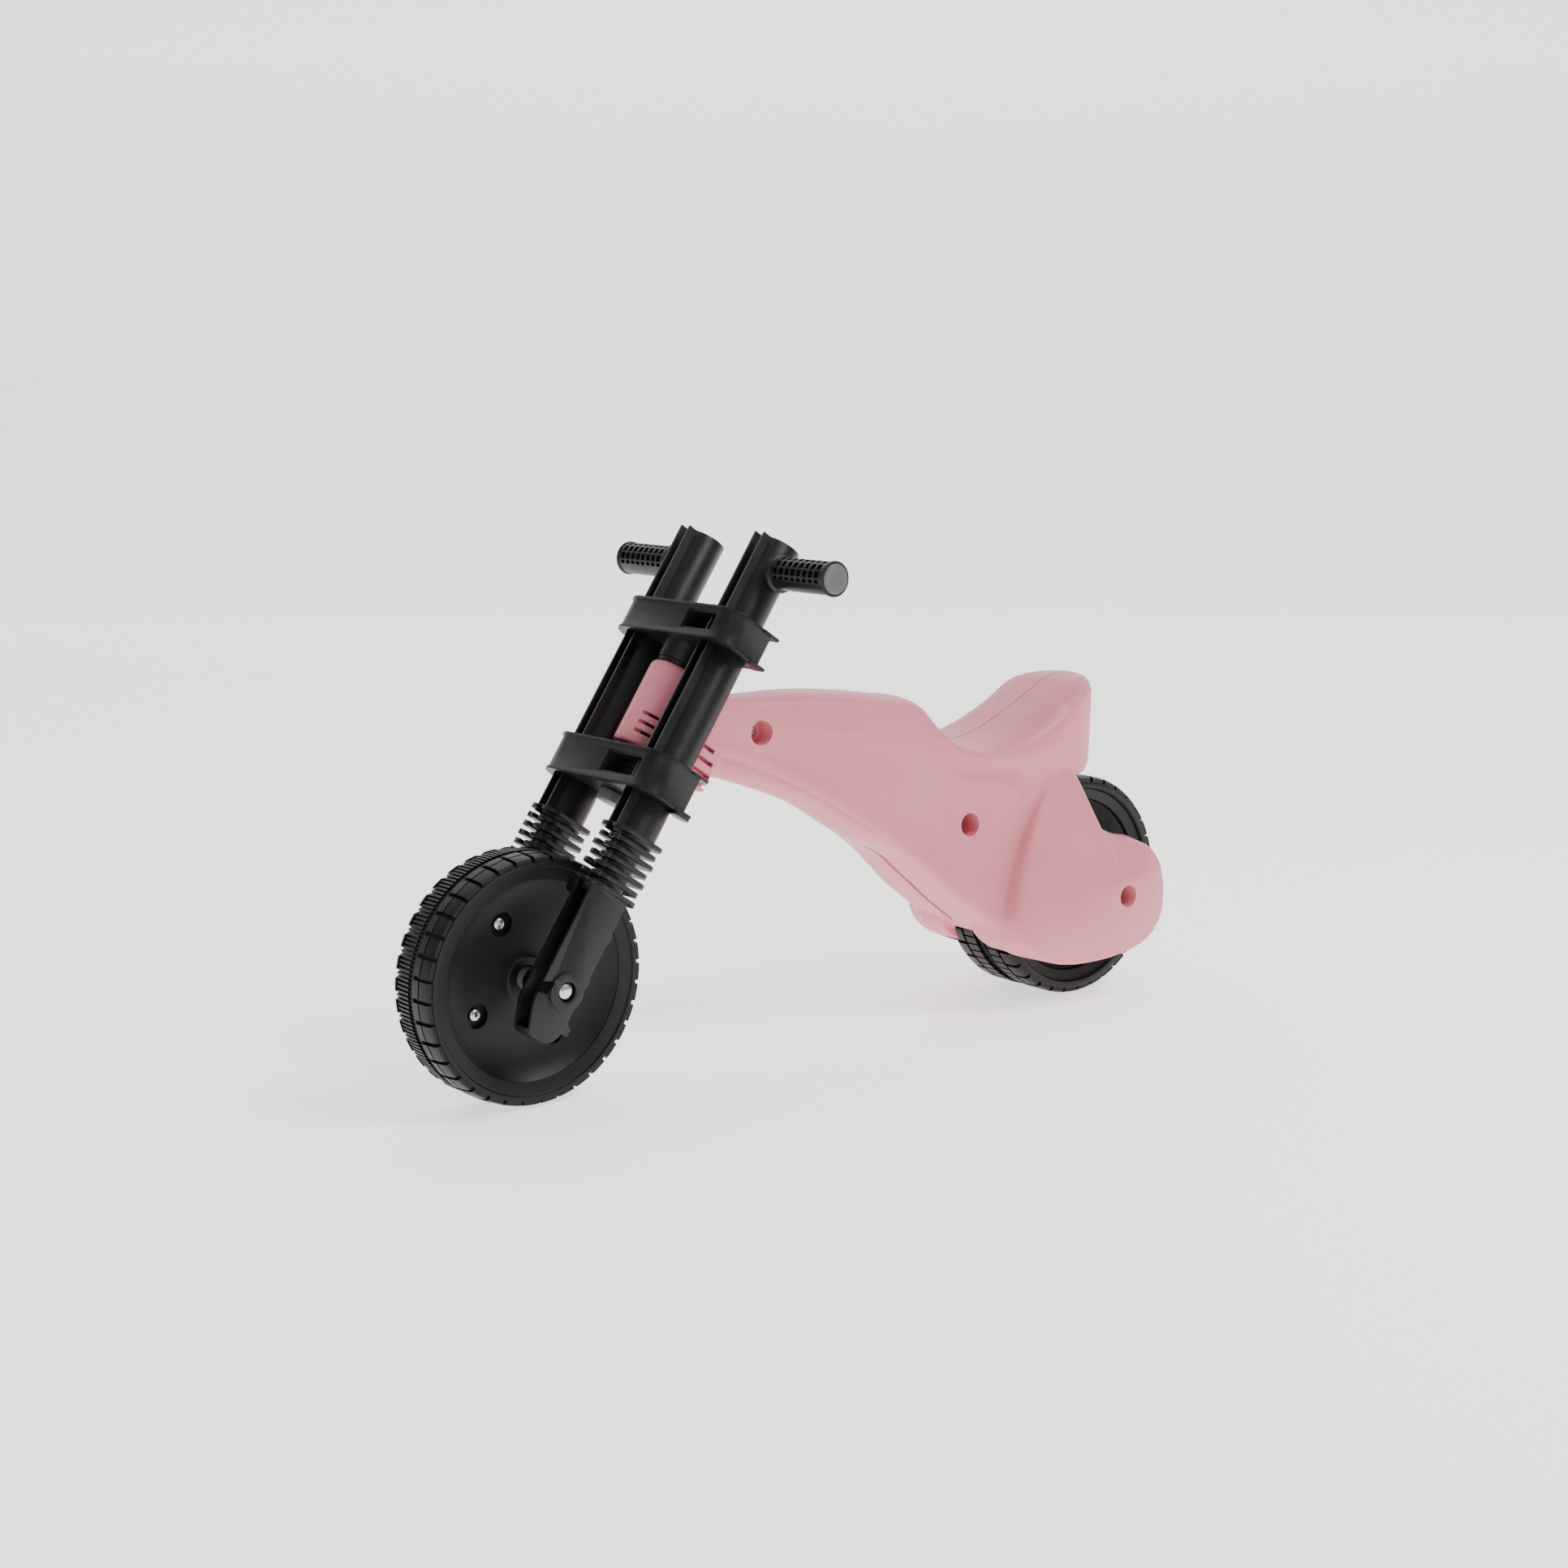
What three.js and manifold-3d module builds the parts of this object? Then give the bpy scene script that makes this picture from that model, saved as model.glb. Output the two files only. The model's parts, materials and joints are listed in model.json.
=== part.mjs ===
// Toddler balance bike: two moulded body shells, a forked steering column clamped by two yokes,
// one front wheel in the fork and two rear wheels side by side under the saddle.
// Millimetres. +X forward, +Y to the rider's left, +Z up. Origin on the floor under the middle.
import * as THREE from 'three';
import { mergeVertices } from 'three/addons/utils/BufferGeometryUtils.js';
import Module from 'manifold-3d';

const wasm = await Module();
wasm.setup();

// Overall layout
const overallLength = 703.5;
const wheelRadius = 90;
const wheelbase = overallLength - 2 * wheelRadius;
const forkAngle = 56.1;
const tubeTop = 353.4;
const gripSpan = 244;

// Clearances
const gap = 0.3;
const runningClearance = 0.08;

// Front wheel
const frontWheelWidth = 44;
const treadLugs = 36;
const lugGroove = 3.6;
const wheelScrewCircle = 46;
const wheelScrewPhase = 64;

// Rear wheels
const rearWheelWidth = 30;
const rearWheelInset = 2.5;

// Axles, screws and steering pin
const axleRadius = 5;
const bushWall = 3.8;
const screwRadius = 2.1;
const screwHeadRadius = 4.8;
const pinRadius = 6;
const boltHeadRadius = axleRadius + 1;

// Fork
const tubeSpacing = 87;
const tubeRadius = 15.5;
const tubeWall = 3;
const tubeFront = 20;
const slotWidth = 8;
const ringCount = 7;
const ringPitch = 7.1;
const firstRing = 75.2;
const ringThickness = 3;
const legTop = 72;
const legBottom = -38;
const legInnerFace = frontWheelWidth / 2 + 10;
const legOuterFace = legInnerFace + 25;
const legWall = 3;
const gripHeight = 331.8;
const gripRadius = 11.8;

// Yokes
const upperYokeBottom = 264;
const upperYokeTop = 290;
const lowerYokeBottom = 146;
const lowerYokeTop = 176;
const yokeFront = tubeFront + 4;
const yokeRear = -tubeRadius - 4.5;
const yokeHalfWidth = tubeSpacing / 2 + tubeRadius + 6;
const yokeWall = 3;

// Head tube and its bushes
const headTubeRadius = 18;
const headTubeBottom = 181;
const headTubeTop = 247;
const bushFlange = 5.5;

// Body shells
const shellWall = 3;
const wellClearance = 6;
const podHalfWidth = 88;
const podRear = 56.5;
const bodyHoleRadius = 9.2;
const neckHole = [199, 245.5];
const midHole = [389, 158];

const podInnerFace = rearWheelInset + rearWheelWidth + 3.5;
const frontAxleX = wheelbase / 2;
const rearAxleX = frontAxleX - wheelbase;
const tubeY = tubeSpacing / 2;
const rake = THREE.MathUtils.degToRad(forkAngle);

const pinkPlastic = new THREE.MeshStandardMaterial({ color: 0xe59aa2, roughness: 0.45, metalness: 0 });
const blackPlastic = new THREE.MeshStandardMaterial({ color: 0x1f2022, roughness: 0.5, metalness: 0 });
const greyPlastic = new THREE.MeshStandardMaterial({ color: 0x4a4c4e, roughness: 0.5, metalness: 0 });
const brightSteel = new THREE.MeshStandardMaterial({ color: 0xc9cccf, roughness: 0.25, metalness: 1 });

// A closed geometry as a solid for joining and cutting.
function solid(geometry) {
  geometry.deleteAttribute('normal');
  geometry.deleteAttribute('uv');
  const merged = mergeVertices(geometry, 1e-4);
  const vertProperties = Float32Array.from(merged.attributes.position.array);
  const triVerts = Uint32Array.from(merged.index.array);
  return new wasm.Manifold(new wasm.Mesh({ numProp: 3, vertProperties, triVerts }));
}

function join(...shapes) {
  return shapes.flat().reduce((whole, shape) => whole.add(shape));
}

function cut(shape, ...tools) {
  return tools.flat().reduce((rest, tool) => rest.subtract(tool), shape);
}

function block(x0, x1, y0, y1, z0, z1) {
  const geometry = new THREE.BoxGeometry(x1 - x0, y1 - y0, z1 - z0);
  return solid(geometry.translate((x0 + x1) / 2, (y0 + y1) / 2, (z0 + z1) / 2));
}

// A cylinder along Y from y0 to y1 with its axis through (x, z).
function crossRod(radius, y0, y1, x = 0, z = 0, sides = 16) {
  const geometry = new THREE.CylinderGeometry(radius, radius, y1 - y0, sides);
  return solid(geometry.translate(x, (y0 + y1) / 2, z));
}

// A cylinder along Z from z0 to z1 with its axis through (x, y).
function uprightRod(radius, z0, z1, x = 0, y = 0, sides = 16) {
  const geometry = new THREE.CylinderGeometry(radius, radius, z1 - z0, sides).rotateX(Math.PI / 2);
  return solid(geometry.translate(x, y, (z0 + z1) / 2));
}

function outline(points) {
  return new THREE.Shape(points.map(([x, y]) => new THREE.Vector2(x, y)));
}

// A side outline in X and Z, made solid from y0 to y1.
function sidePlate(shape, y0, y1, options = {}) {
  const settings = { depth: y1 - y0, bevelEnabled: false, curveSegments: 2, ...options };
  return solid(new THREE.ExtrudeGeometry(shape, settings).rotateX(Math.PI / 2).translate(0, y1, 0));
}

// A plan outline in X and Y, made solid from z0 to z1.
function planPlate(shape, z0, z1) {
  const settings = { depth: z1 - z0, bevelEnabled: false, curveSegments: 2 };
  return solid(new THREE.ExtrudeGeometry(shape, settings).translate(0, 0, z0));
}

// A closed profile of [radius, y] points turned about the Y axis.
function turned(profile, sides = 36) {
  const points = [...profile, profile[0]].map(([radius, y]) => new THREE.Vector2(radius, y));
  return solid(new THREE.LatheGeometry(points, sides));
}

function mirrored(shape) {
  return shape.mirror([0, 1, 0]);
}

// Rings of equal point counts, one behind the other along X, bridged and capped.
function loft(rings) {
  const count = rings[0].length;
  const index = [];
  for (let ring = 0; ring < rings.length - 1; ring += 1) {
    for (let side = 0; side < count; side += 1) {
      const a = ring * count + side;
      const b = ring * count + ((side + 1) % count);
      index.push(a, b + count, b, a, a + count, b + count);
    }
  }
  const last = (rings.length - 1) * count;
  const flat = (ring) => ring.map((point) => new THREE.Vector2(point[1], point[2]));
  for (const [a, b, c] of THREE.ShapeUtils.triangulateShape(flat(rings[0]), [])) {
    index.push(a, b, c);
  }
  for (const [a, b, c] of THREE.ShapeUtils.triangulateShape(flat(rings.at(-1)), [])) {
    index.push(last + c, last + b, last + a);
  }
  const geometry = new THREE.BufferGeometry();
  geometry.setAttribute('position', new THREE.Float32BufferAttribute(rings.flat(2), 3));
  geometry.setIndex(index);
  return solid(geometry);
}

const bike = new THREE.Group();
// Parts of the fork are drawn upright: local Z runs up the fork from the axle, local X leads.
const fork = new THREE.Group();
fork.position.set(frontAxleX, 0, wheelRadius);
fork.rotation.y = rake - Math.PI / 2;
const frontWheel = new THREE.Group();
frontWheel.position.set(frontAxleX, 0, wheelRadius);
const rearWheels = new THREE.Group();
rearWheels.position.set(rearAxleX, 0, wheelRadius);
bike.add(fork, frontWheel, rearWheels);

function place(parent, name, shape, material) {
  const data = shape.getMesh();
  const geometry = new THREE.BufferGeometry();
  geometry.setAttribute('position', new THREE.Float32BufferAttribute(data.vertProperties, 3));
  geometry.setIndex(new THREE.Uint32BufferAttribute(data.triVerts, 1));
  geometry.computeVertexNormals();
  const mesh = new THREE.Mesh(geometry, material);
  mesh.name = name;
  parent.add(mesh);
}

// ---------------------------------------------------------------- body shells
// Stations run rearward from the front axle. Each gives the height of the top, the height and half
// width of its rounded edge, the side panel's half width and upper edge, the start of the lower
// chamfer, and the belly's half width and height.
const stations = [
  [120, 288, 280, 17, 17, 270, 246, 10, 231],
  [150, 281, 272, 18, 18, 261, 239, 10, 218],
  [185, 273, 262, 20, 21, 251, 229, 10, 208],
  [240, 271.5, 259, 26, 28, 246, 201, 10, 182],
  [290, 267, 252, 32, 34, 238, 171, 10, 152],
  [330, 262, 244, 38, 39, 226, 143, 10, 130],
  [350, 255, 237, 42, 41, 217, 129, 10, 117],
  [365, 237, 227, 46, 42, 208, 118, 10, 107],
  [380, 223, 217, 48, 44, 200, 107, 10, 97],
  [405, 216, 211, 50, 45, 194, 88, 10, 80],
  [430, 217, 211, 50, 46, 191, 74, 12, 68],
  [460, 226, 217, 50, 46, 189, 70, 16, 64],
  [490, 243, 234, 48, 46, 188, 70, 20, 64],
  [515, 258, 249, 43, 43, 188, 70, 20, 64],
  [533, 262, 253, 32, 33, 188, 70, 20, 64],
  [542, 262, 254, 18, 19, 188, 70, 14, 64],
];
const stationCurve = new THREE.CubicInterpolant(
  stations.map((row) => row[0]),
  stations.flatMap((row) => row.slice(1)),
  8,
);

// The stations are drawn for a wheelbase of 523.5 and wheels of radius 90. A longer bike stretches
// them behind the head tube, and larger wheels lift the body, twice as much over the rear wheels.
const stretch = (wheelbase - 120) / 403.5;
const stationX = (distance) => frontAxleX - 120 - (distance - 120) * stretch;
function lift(distance) {
  return (wheelRadius - 90) * (1 + THREE.MathUtils.smoothstep(distance, 150, 400));
}

// Half section of the body at one station, drawn in by inset on every side.
function bodySection(distance, inset) {
  const [top, edge, edgeHalf, panelHalf, panelTop, chamfer, bellyHalf, belly] = stationCurve.evaluate(distance);
  const x = stationX(distance);
  const raise = lift(distance);
  const width = edgeHalf - inset;
  const height = top - inset;
  const fall = top - edge;
  const points = [
    [0, height],
    [width * 0.5, height + 0.2],
    [width * 0.8, height - fall * 0.25],
    [width * 0.94, height - fall * 0.6],
    [width, edge - inset * 0.5],
    [width - 0.5, edge - 5],
    [panelHalf - inset, panelTop],
    [panelHalf - inset, chamfer + inset * 0.3],
    [Math.max(bellyHalf - inset, 1), belly + inset],
    [0, belly + inset],
  ];
  return points.reverse().map(([y, z]) => [x, y, z + raise]);
}

function bodySolid(inset, from, to, step) {
  const rings = [];
  const count = Math.ceil((to - from) / step);
  for (let i = 0; i <= count; i += 1) {
    rings.push(bodySection(from + ((to - from) * i) / count, inset));
  }
  return loft(rings);
}

// The wheel covers keep their place around the rear axle and their proportion to the wheels.
const podScale = wheelRadius / 90;
const podX = (distance) => (523.5 - distance) * podScale;

// Side outline of the wheel cover and the column that joins it to the saddle.
function podOutline(inset) {
  const x = podX;
  const shape = new THREE.Shape();
  shape.moveTo(x(450 + inset), 206);
  shape.bezierCurveTo(x(432 + inset), 190, x(414 + inset), 165, x(406 + inset), 126);
  shape.bezierCurveTo(x(400 + inset), 96, x(408 + inset), 66, x(440 + inset), 49 + inset);
  shape.bezierCurveTo(x(462), 40 + inset, x(500), 36 + inset, x(534), 37 + inset);
  const rear = 523.5 + podRear - inset;
  shape.bezierCurveTo(x(562), 40 + inset, x(rear), 52 + inset, x(rear), 80);
  shape.bezierCurveTo(x(rear), 104, x(rear - 6), 118 - inset, x(560), 130 - inset);
  shape.bezierCurveTo(x(535), 138 - inset, x(511 - inset), 147, x(508 - inset), 170);
  shape.bezierCurveTo(x(507 - inset), 182, x(500 - inset), 192, x(498 - inset), 206);
  return shape;
}

// The cover swells outward from the saddle down to the axle.
function podSolid(inset, inner) {
  const bevel = 7;
  const plate = sidePlate(podOutline(inset + bevel * 0.6), inner, podHalfWidth - inset - bevel, {
    bevelEnabled: true,
    bevelThickness: bevel,
    bevelSize: bevel * 0.6,
    bevelSegments: 1,
    curveSegments: 5,
  });
  const half = podHalfWidth - inset;
  const limit = new THREE.Shape();
  limit.moveTo(inner, 30);
  limit.lineTo(half - 8, 30);
  limit.lineTo(half, 56);
  limit.lineTo(half, 100);
  limit.bezierCurveTo(half, 125, half - 22, 150, half - 30, 170);
  limit.bezierCurveTo(half - 36, 186, half - 42, 196, half - 42, 210);
  limit.lineTo(inner, 210);
  const geometry = new THREE.ExtrudeGeometry(limit, { depth: 260, bevelEnabled: false, curveSegments: 2 });
  geometry.rotateX(Math.PI / 2).rotateZ(Math.PI / 2);
  const corridor = solid(geometry.translate(-100, 0, 0));
  return onRearAxle(plate.intersect(corridor));
}

// A solid drawn with the floor at z = 0 below a rear axle at 90, moved to the real rear axle.
function onRearAxle(shape) {
  return shape.scale([1, 1, podScale]).translate([rearAxleX, 0, 0]);
}

// A solid drawn in the fork's upright frame, moved into the body's frame.
function fromFork(shape) {
  return shape.rotate([0, forkAngle - 90, 0]).translate([frontAxleX, 0, wheelRadius]);
}

const holeCentre = ([distance, z]) => [stationX(distance), z + lift(distance)];

function bodyShell(side) {
  const head = fromFork(uprightRod(headTubeRadius, headTubeBottom, headTubeTop, 0, 0, 32));
  const outer = join(bodySolid(0, 120, 542, 20), podSolid(0, podInnerFace));
  const hollow = join(bodySolid(shellWall, 160, 538, 21), podSolid(shellWall, -1));
  const well = crossRod(wheelRadius + wellClearance, -1, podInnerFace, rearAxleX, wheelRadius, 36);
  const x = stationX;
  const opening = outline([
    [podX(499), 190], [podX(507), 178], [podX(509), 165], [podX(514), 152], [podX(524), 143],
    [podX(536), 138], [podX(560), 131], [podX(600), 120], [podX(600), 186],
  ]);
  const window = onRearAxle(sidePlate(opening, -1, 100));
  const bellySlot = planPlate(outline([
    [x(200), -1], [x(200), 1], [x(300), 5.5], [x(445), 9], [x(445), -1],
  ]), 60, 205);
  const shell = cut(outer, hollow, well, window, bellySlot);
  const bosses = [
    crossRod(12, 0, 20, ...holeCentre(neckHole)),
    crossRod(12, 0, 42, ...holeCentre(midHole)),
    crossRod(12.5, podInnerFace - 2.8, podHalfWidth - 2, rearAxleX, wheelRadius),
  ];
  const bore = fromFork(uprightRod(pinRadius + bushWall + gap, headTubeBottom - 40, headTubeTop + 40));
  const faces = fromFork(join(
    uprightRod(34, headTubeTop, headTubeTop + 30),
    uprightRod(34, headTubeBottom - 30, headTubeBottom),
  ));
  const axleHole = join(
    crossRod(axleRadius + gap, 30, 90, rearAxleX, wheelRadius),
    crossRod(bodyHoleRadius, 70, 90, rearAxleX, wheelRadius),
  );
  const screwHoles = [neckHole, midHole].flatMap((hole) => {
    const pilot = crossRod(screwRadius + gap, -1, side > 0 ? 60 : 18, ...holeCentre(hole), 12);
    const recess = crossRod(bodyHoleRadius, 8, 60, ...holeCentre(hole));
    return side > 0 ? [pilot, recess] : [pilot];
  });
  const whole = cut(join(shell, head, bosses), faces, bore, axleHole, screwHoles);
  const half = whole.intersect(block(-400, 400, gap / 2, 120, -10, 420));
  return side > 0 ? half : mirrored(half);
}

place(bike, 'body_shell_left', bodyShell(1), pinkPlastic);
place(bike, 'body_shell_right', bodyShell(-1), pinkPlastic);

for (const [name, hole] of [['neck', neckHole], ['mid', midHole]]) {
  const head = crossRod(screwHeadRadius, 8 + gap, 11.5, ...holeCentre(hole), 12);
  const shank = crossRod(screwRadius, -15, 9, ...holeCentre(hole), 12);
  place(bike, `body_screw_${name}`, join(head, shank), brightSteel);
}

// ---------------------------------------------------------------- steering column
const bushRadius = pinRadius + bushWall;
function headBush(from, to, flangeFrom, flangeTo) {
  const sleeve = uprightRod(bushRadius, from, to);
  const flange = uprightRod(15, flangeFrom, flangeTo, 0, 0, 24);
  return cut(join(sleeve, flange), uprightRod(pinRadius + runningClearance, from - 10, to + 10, 0, 0, 24));
}
const upperBush = headBush(headTubeTop - 18, headTubeTop + 2, headTubeTop + gap, headTubeTop + gap + bushFlange);
const lowerBush = headBush(headTubeBottom - 2, headTubeBottom + 18, headTubeBottom - gap - 3, headTubeBottom - gap);
place(fork, 'head_bush_upper', upperBush, blackPlastic);
place(fork, 'head_bush_lower', lowerBush, blackPlastic);

const pinHeadTop = lowerYokeBottom - gap;
place(fork, 'steering_pin', join(
  uprightRod(pinRadius, pinHeadTop - 1, upperYokeTop - 6, 0, 0, 24),
  uprightRod(10, pinHeadTop - 7.5, pinHeadTop, 0, 0, 24),
), greyPlastic);
const nutBase = upperYokeBottom + yokeWall + gap;
place(fork, 'steering_pin_nut', cut(
  uprightRod(10, nutBase, nutBase + 8, 0, 0, 6),
  uprightRod(pinRadius + gap, nutBase - 1, nutBase + 9),
), brightSteel);

// Plan outline of a tube: round behind, straight cheeks in front beside the slot.
function tubeOutline(radius, front, cheek) {
  const shape = new THREE.Shape();
  const start = Math.asin(cheek / radius);
  shape.moveTo(front, -cheek);
  shape.lineTo(front, cheek);
  for (const [from, to] of [[start, 1.9], [1.9, Math.PI], [Math.PI, 4.4], [4.4, Math.PI * 2 - start]]) {
    shape.absarc(0, 0, radius, from, to, false);
  }
  return shape;
}

const cheekHalf = slotWidth / 2 + 2.5;
const lastRing = firstRing + (ringCount - 1) * ringPitch;
const tubeSetback = -1.5;
function forkTube() {
  const wide = planPlate(tubeOutline(tubeRadius, tubeFront - tubeSetback, cheekHalf), lastRing, tubeTop);
  const core = uprightRod(tubeRadius - 3, firstRing, lastRing + 1);
  return join(wide, core).translate([tubeSetback, tubeY, 0]);
}

// The room inside the tube and the slot that opens it to the front.
function tubeHollow() {
  const room = uprightRod(tubeRadius - tubeWall - 2, firstRing + 2, tubeTop + 1);
  const slot = block(0, 30, -slotWidth / 2, slotWidth / 2, lastRing + 4, tubeTop + 1);
  return join(room, slot).translate([tubeSetback, tubeY, 0]);
}

function gaiterRings() {
  const shape = new THREE.Shape();
  const corner = 9;
  const side = tubeRadius;
  shape.moveTo(-13.5, -side);
  shape.absarc(12.5, corner - side, corner, -Math.PI / 2, 0, false);
  shape.absarc(12.5, side - corner, corner, 0, Math.PI / 2, false);
  shape.absarc(-13.5, side - corner, corner, Math.PI / 2, Math.PI, false);
  shape.absarc(-13.5, corner - side, corner, Math.PI, Math.PI * 1.5, false);
  const rings = [];
  for (let i = 0; i < ringCount; i += 1) {
    const base = firstRing + i * ringPitch - ringThickness / 2;
    rings.push(planPlate(shape, base, base + ringThickness));
  }
  return join(rings).translate([0, tubeY, 0]);
}

// Lower leg: two walls and a back, open towards the front, rounded below the axle.
function wheelLeg() {
  const side = new THREE.Shape();
  side.moveTo(-13, legTop + 6);
  side.lineTo(-13, legBottom + 12);
  side.absarc(-5, legBottom + 12, 8, Math.PI, Math.PI * 1.5, false);
  side.lineTo(12, legBottom + 4);
  side.absarc(12, legBottom + 13, 9, -Math.PI / 2, 0, false);
  side.lineTo(21, legTop + 6);
  const full = sidePlate(side, legInnerFace, legOuterFace);
  const channel = block(-10, 40, legInnerFace + legWall, legOuterFace - legWall, legBottom + 7, legTop + 10);
  const floor = planPlate(outline([
    [-13, legInnerFace], [20, legInnerFace], [20, legOuterFace], [-13, legOuterFace],
  ]), legTop, firstRing + 3);
  const boss = crossRod(13.8, legInnerFace, legOuterFace + 1.5, 0, 0, 24);
  const tabs = [12, 46].map((height) => block(-17, -12, legOuterFace - 6, legOuterFace, height - 3, height + 3));
  const notch = crossRod(5, legOuterFace - 10, legOuterFace + 1, -13, -24, 20);
  return cut(join(cut(full, channel), floor, boss, tabs), notch);
}

const recess = crossRod(boltHeadRadius + 1.2, legOuterFace - 2, legOuterFace + 5);
const legAxleHole = crossRod(axleRadius + gap, legInnerFace - 5, legOuterFace + 5);
const gripSocket = crossRod(8 + gap, tubeY + 4, tubeY + 30, 0, gripHeight);
const leg = cut(join(forkTube(), gaiterRings(), wheelLeg()), tubeHollow(), recess, legAxleHole, gripSocket);
place(fork, 'fork_leg_left', leg, blackPlastic);
place(fork, 'fork_leg_right', mirrored(leg), blackPlastic);

function yoke(bottom, top, lobe) {
  const plan = (rear, half, corner) => {
    const shape = new THREE.Shape();
    shape.moveTo(rear, -half + 6);
    shape.absarc(rear + 6, -half + 6, 6, Math.PI, Math.PI * 1.5, false);
    shape.absarc(yokeFront - corner, -half + corner, corner, -Math.PI / 2, 0, false);
    shape.absarc(yokeFront - corner, half - corner, corner, 0, Math.PI / 2, false);
    shape.absarc(rear + 6, half - 6, 6, Math.PI / 2, Math.PI, false);
    return shape;
  };
  const blank = planPlate(plan(yokeRear, yokeHalfWidth, 15), bottom + 1, top - 1);
  const lips = join(
    planPlate(plan(yokeRear, yokeHalfWidth + 1, 16), top - yokeWall, top),
    planPlate(plan(yokeRear, yokeHalfWidth + lobe, 16), bottom, bottom + yokeWall),
  );
  const inside = planPlate(plan(-60, yokeHalfWidth - yokeWall, 12), bottom + yokeWall, top - yokeWall)
    .translate([-yokeWall, 0, 0]);
  const core = uprightRod(16, bottom, top - yokeWall - 4, 0, 0, 24);
  const sleeveOutline = tubeOutline(tubeRadius + gap, tubeFront - tubeSetback + gap, cheekHalf + gap);
  const sleeve = planPlate(sleeveOutline, bottom - 5, top + 5).translate([tubeSetback, 0, 0]);
  const tubes = [sleeve.translate([0, tubeY, 0]), sleeve.translate([0, -tubeY, 0])];
  const window = block(10, 40, 7, 45, bottom + 6.5, top - 6);
  const endSlot = block(10, 40, -60.5, -56.5, bottom + 5, top - 5);
  return cut(join(cut(join(blank, lips), inside), core), tubes, window, endSlot);
}

const pinPassage = uprightRod(pinRadius + gap, 100, 330);
const nutRoom = uprightRod(12, upperYokeBottom + yokeWall, upperYokeTop - yokeWall, 0, 0, 24);
const bearingBoss = uprightRod(16, headTubeTop + 2 * gap + bushFlange, upperYokeBottom + 1, 0, 0, 24);
const upperYoke = cut(join(yoke(upperYokeBottom, upperYokeTop, 1), bearingBoss), pinPassage, nutRoom);
place(fork, 'upper_yoke', upperYoke, blackPlastic);
const lowerBoss = uprightRod(16, lowerYokeTop - 5, headTubeBottom - 2 * gap - 3, 0, 0, 24);
const lowerYoke = cut(join(yoke(lowerYokeBottom, lowerYokeTop, 3), lowerBoss), pinPassage);
place(fork, 'lower_yoke', lowerYoke, blackPlastic);

// Grips: a spigot in the tube, a collar, a pocketed grip and a flat end plug.
const gripEnd = gripSpan / 2;
const gripStart = tubeY + tubeRadius + gap;
const grip = cut(
  turned([
    [0, tubeY + 5], [8, tubeY + 5], [8, gripStart], [14, gripStart], [14, gripStart + 3],
    [gripRadius, gripStart + 4], [gripRadius, gripEnd - 1.5], [gripRadius - 1.2, gripEnd], [0, gripEnd],
  ], 24),
  crossRod(9.6, gripEnd - 8, gripEnd + 1),
).translate([0, 0, gripHeight]);
const plug = crossRod(9.6 - gap, gripEnd - 8 + gap, gripEnd - 0.4, 0, gripHeight);
place(fork, 'handgrip_left', grip, blackPlastic);
place(fork, 'handgrip_right', mirrored(grip), blackPlastic);
place(fork, 'grip_plug_left', plug, greyPlastic);
place(fork, 'grip_plug_right', mirrored(plug), greyPlastic);

// ---------------------------------------------------------------- front axle and wheel
const headSeat = legOuterFace - 2 + gap;
const boltHead = turned([
  [0, headSeat], [boltHeadRadius, headSeat], [boltHeadRadius, headSeat + 2], [boltHeadRadius * 0.8, headSeat + 3.4],
  [boltHeadRadius * 0.4, headSeat + 4.2], [0, headSeat + 4.4],
], 32);
const boltShank = crossRod(axleRadius, -legOuterFace - 7, headSeat + 1, 0, 0, 24);
place(fork, 'front_axle', join(boltHead, boltShank), brightSteel);
const nut = cut(
  crossRod(9, -legOuterFace - 7, -legOuterFace - 1.5 - gap, 0, 0, 6),
  crossRod(axleRadius + gap, -legOuterFace - 8, -legOuterFace),
);
place(fork, 'front_axle_nut', nut, brightSteel);

const hubHalf = 16;
const spacer = cut(
  crossRod(9, hubHalf + gap, legInnerFace - gap),
  crossRod(axleRadius + gap, hubHalf - 1, legInnerFace + 1),
);
place(fork, 'front_spacer_left', spacer, blackPlastic);
place(fork, 'front_spacer_right', mirrored(spacer), blackPlastic);

const hubBore = axleRadius + bushWall + gap;
function bush(y0, y1) {
  const bore = crossRod(axleRadius + runningClearance, y0 - 1, y1 + 1, 0, 0, 24);
  return cut(crossRod(axleRadius + bushWall, y0, y1), bore);
}

// Blocks that cut the grooves between the shoulder lugs of a tread.
function shoulderGrooves(y0, y1, count) {
  const grooves = [];
  for (let i = 0; i < count; i += 1) {
    const groove = block(wheelRadius - 4, wheelRadius + 5, y0, y1, -lugGroove / 2, lugGroove / 2);
    grooves.push(groove.rotate([0, (360 * i) / count, 0]));
  }
  return join(grooves);
}

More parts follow.
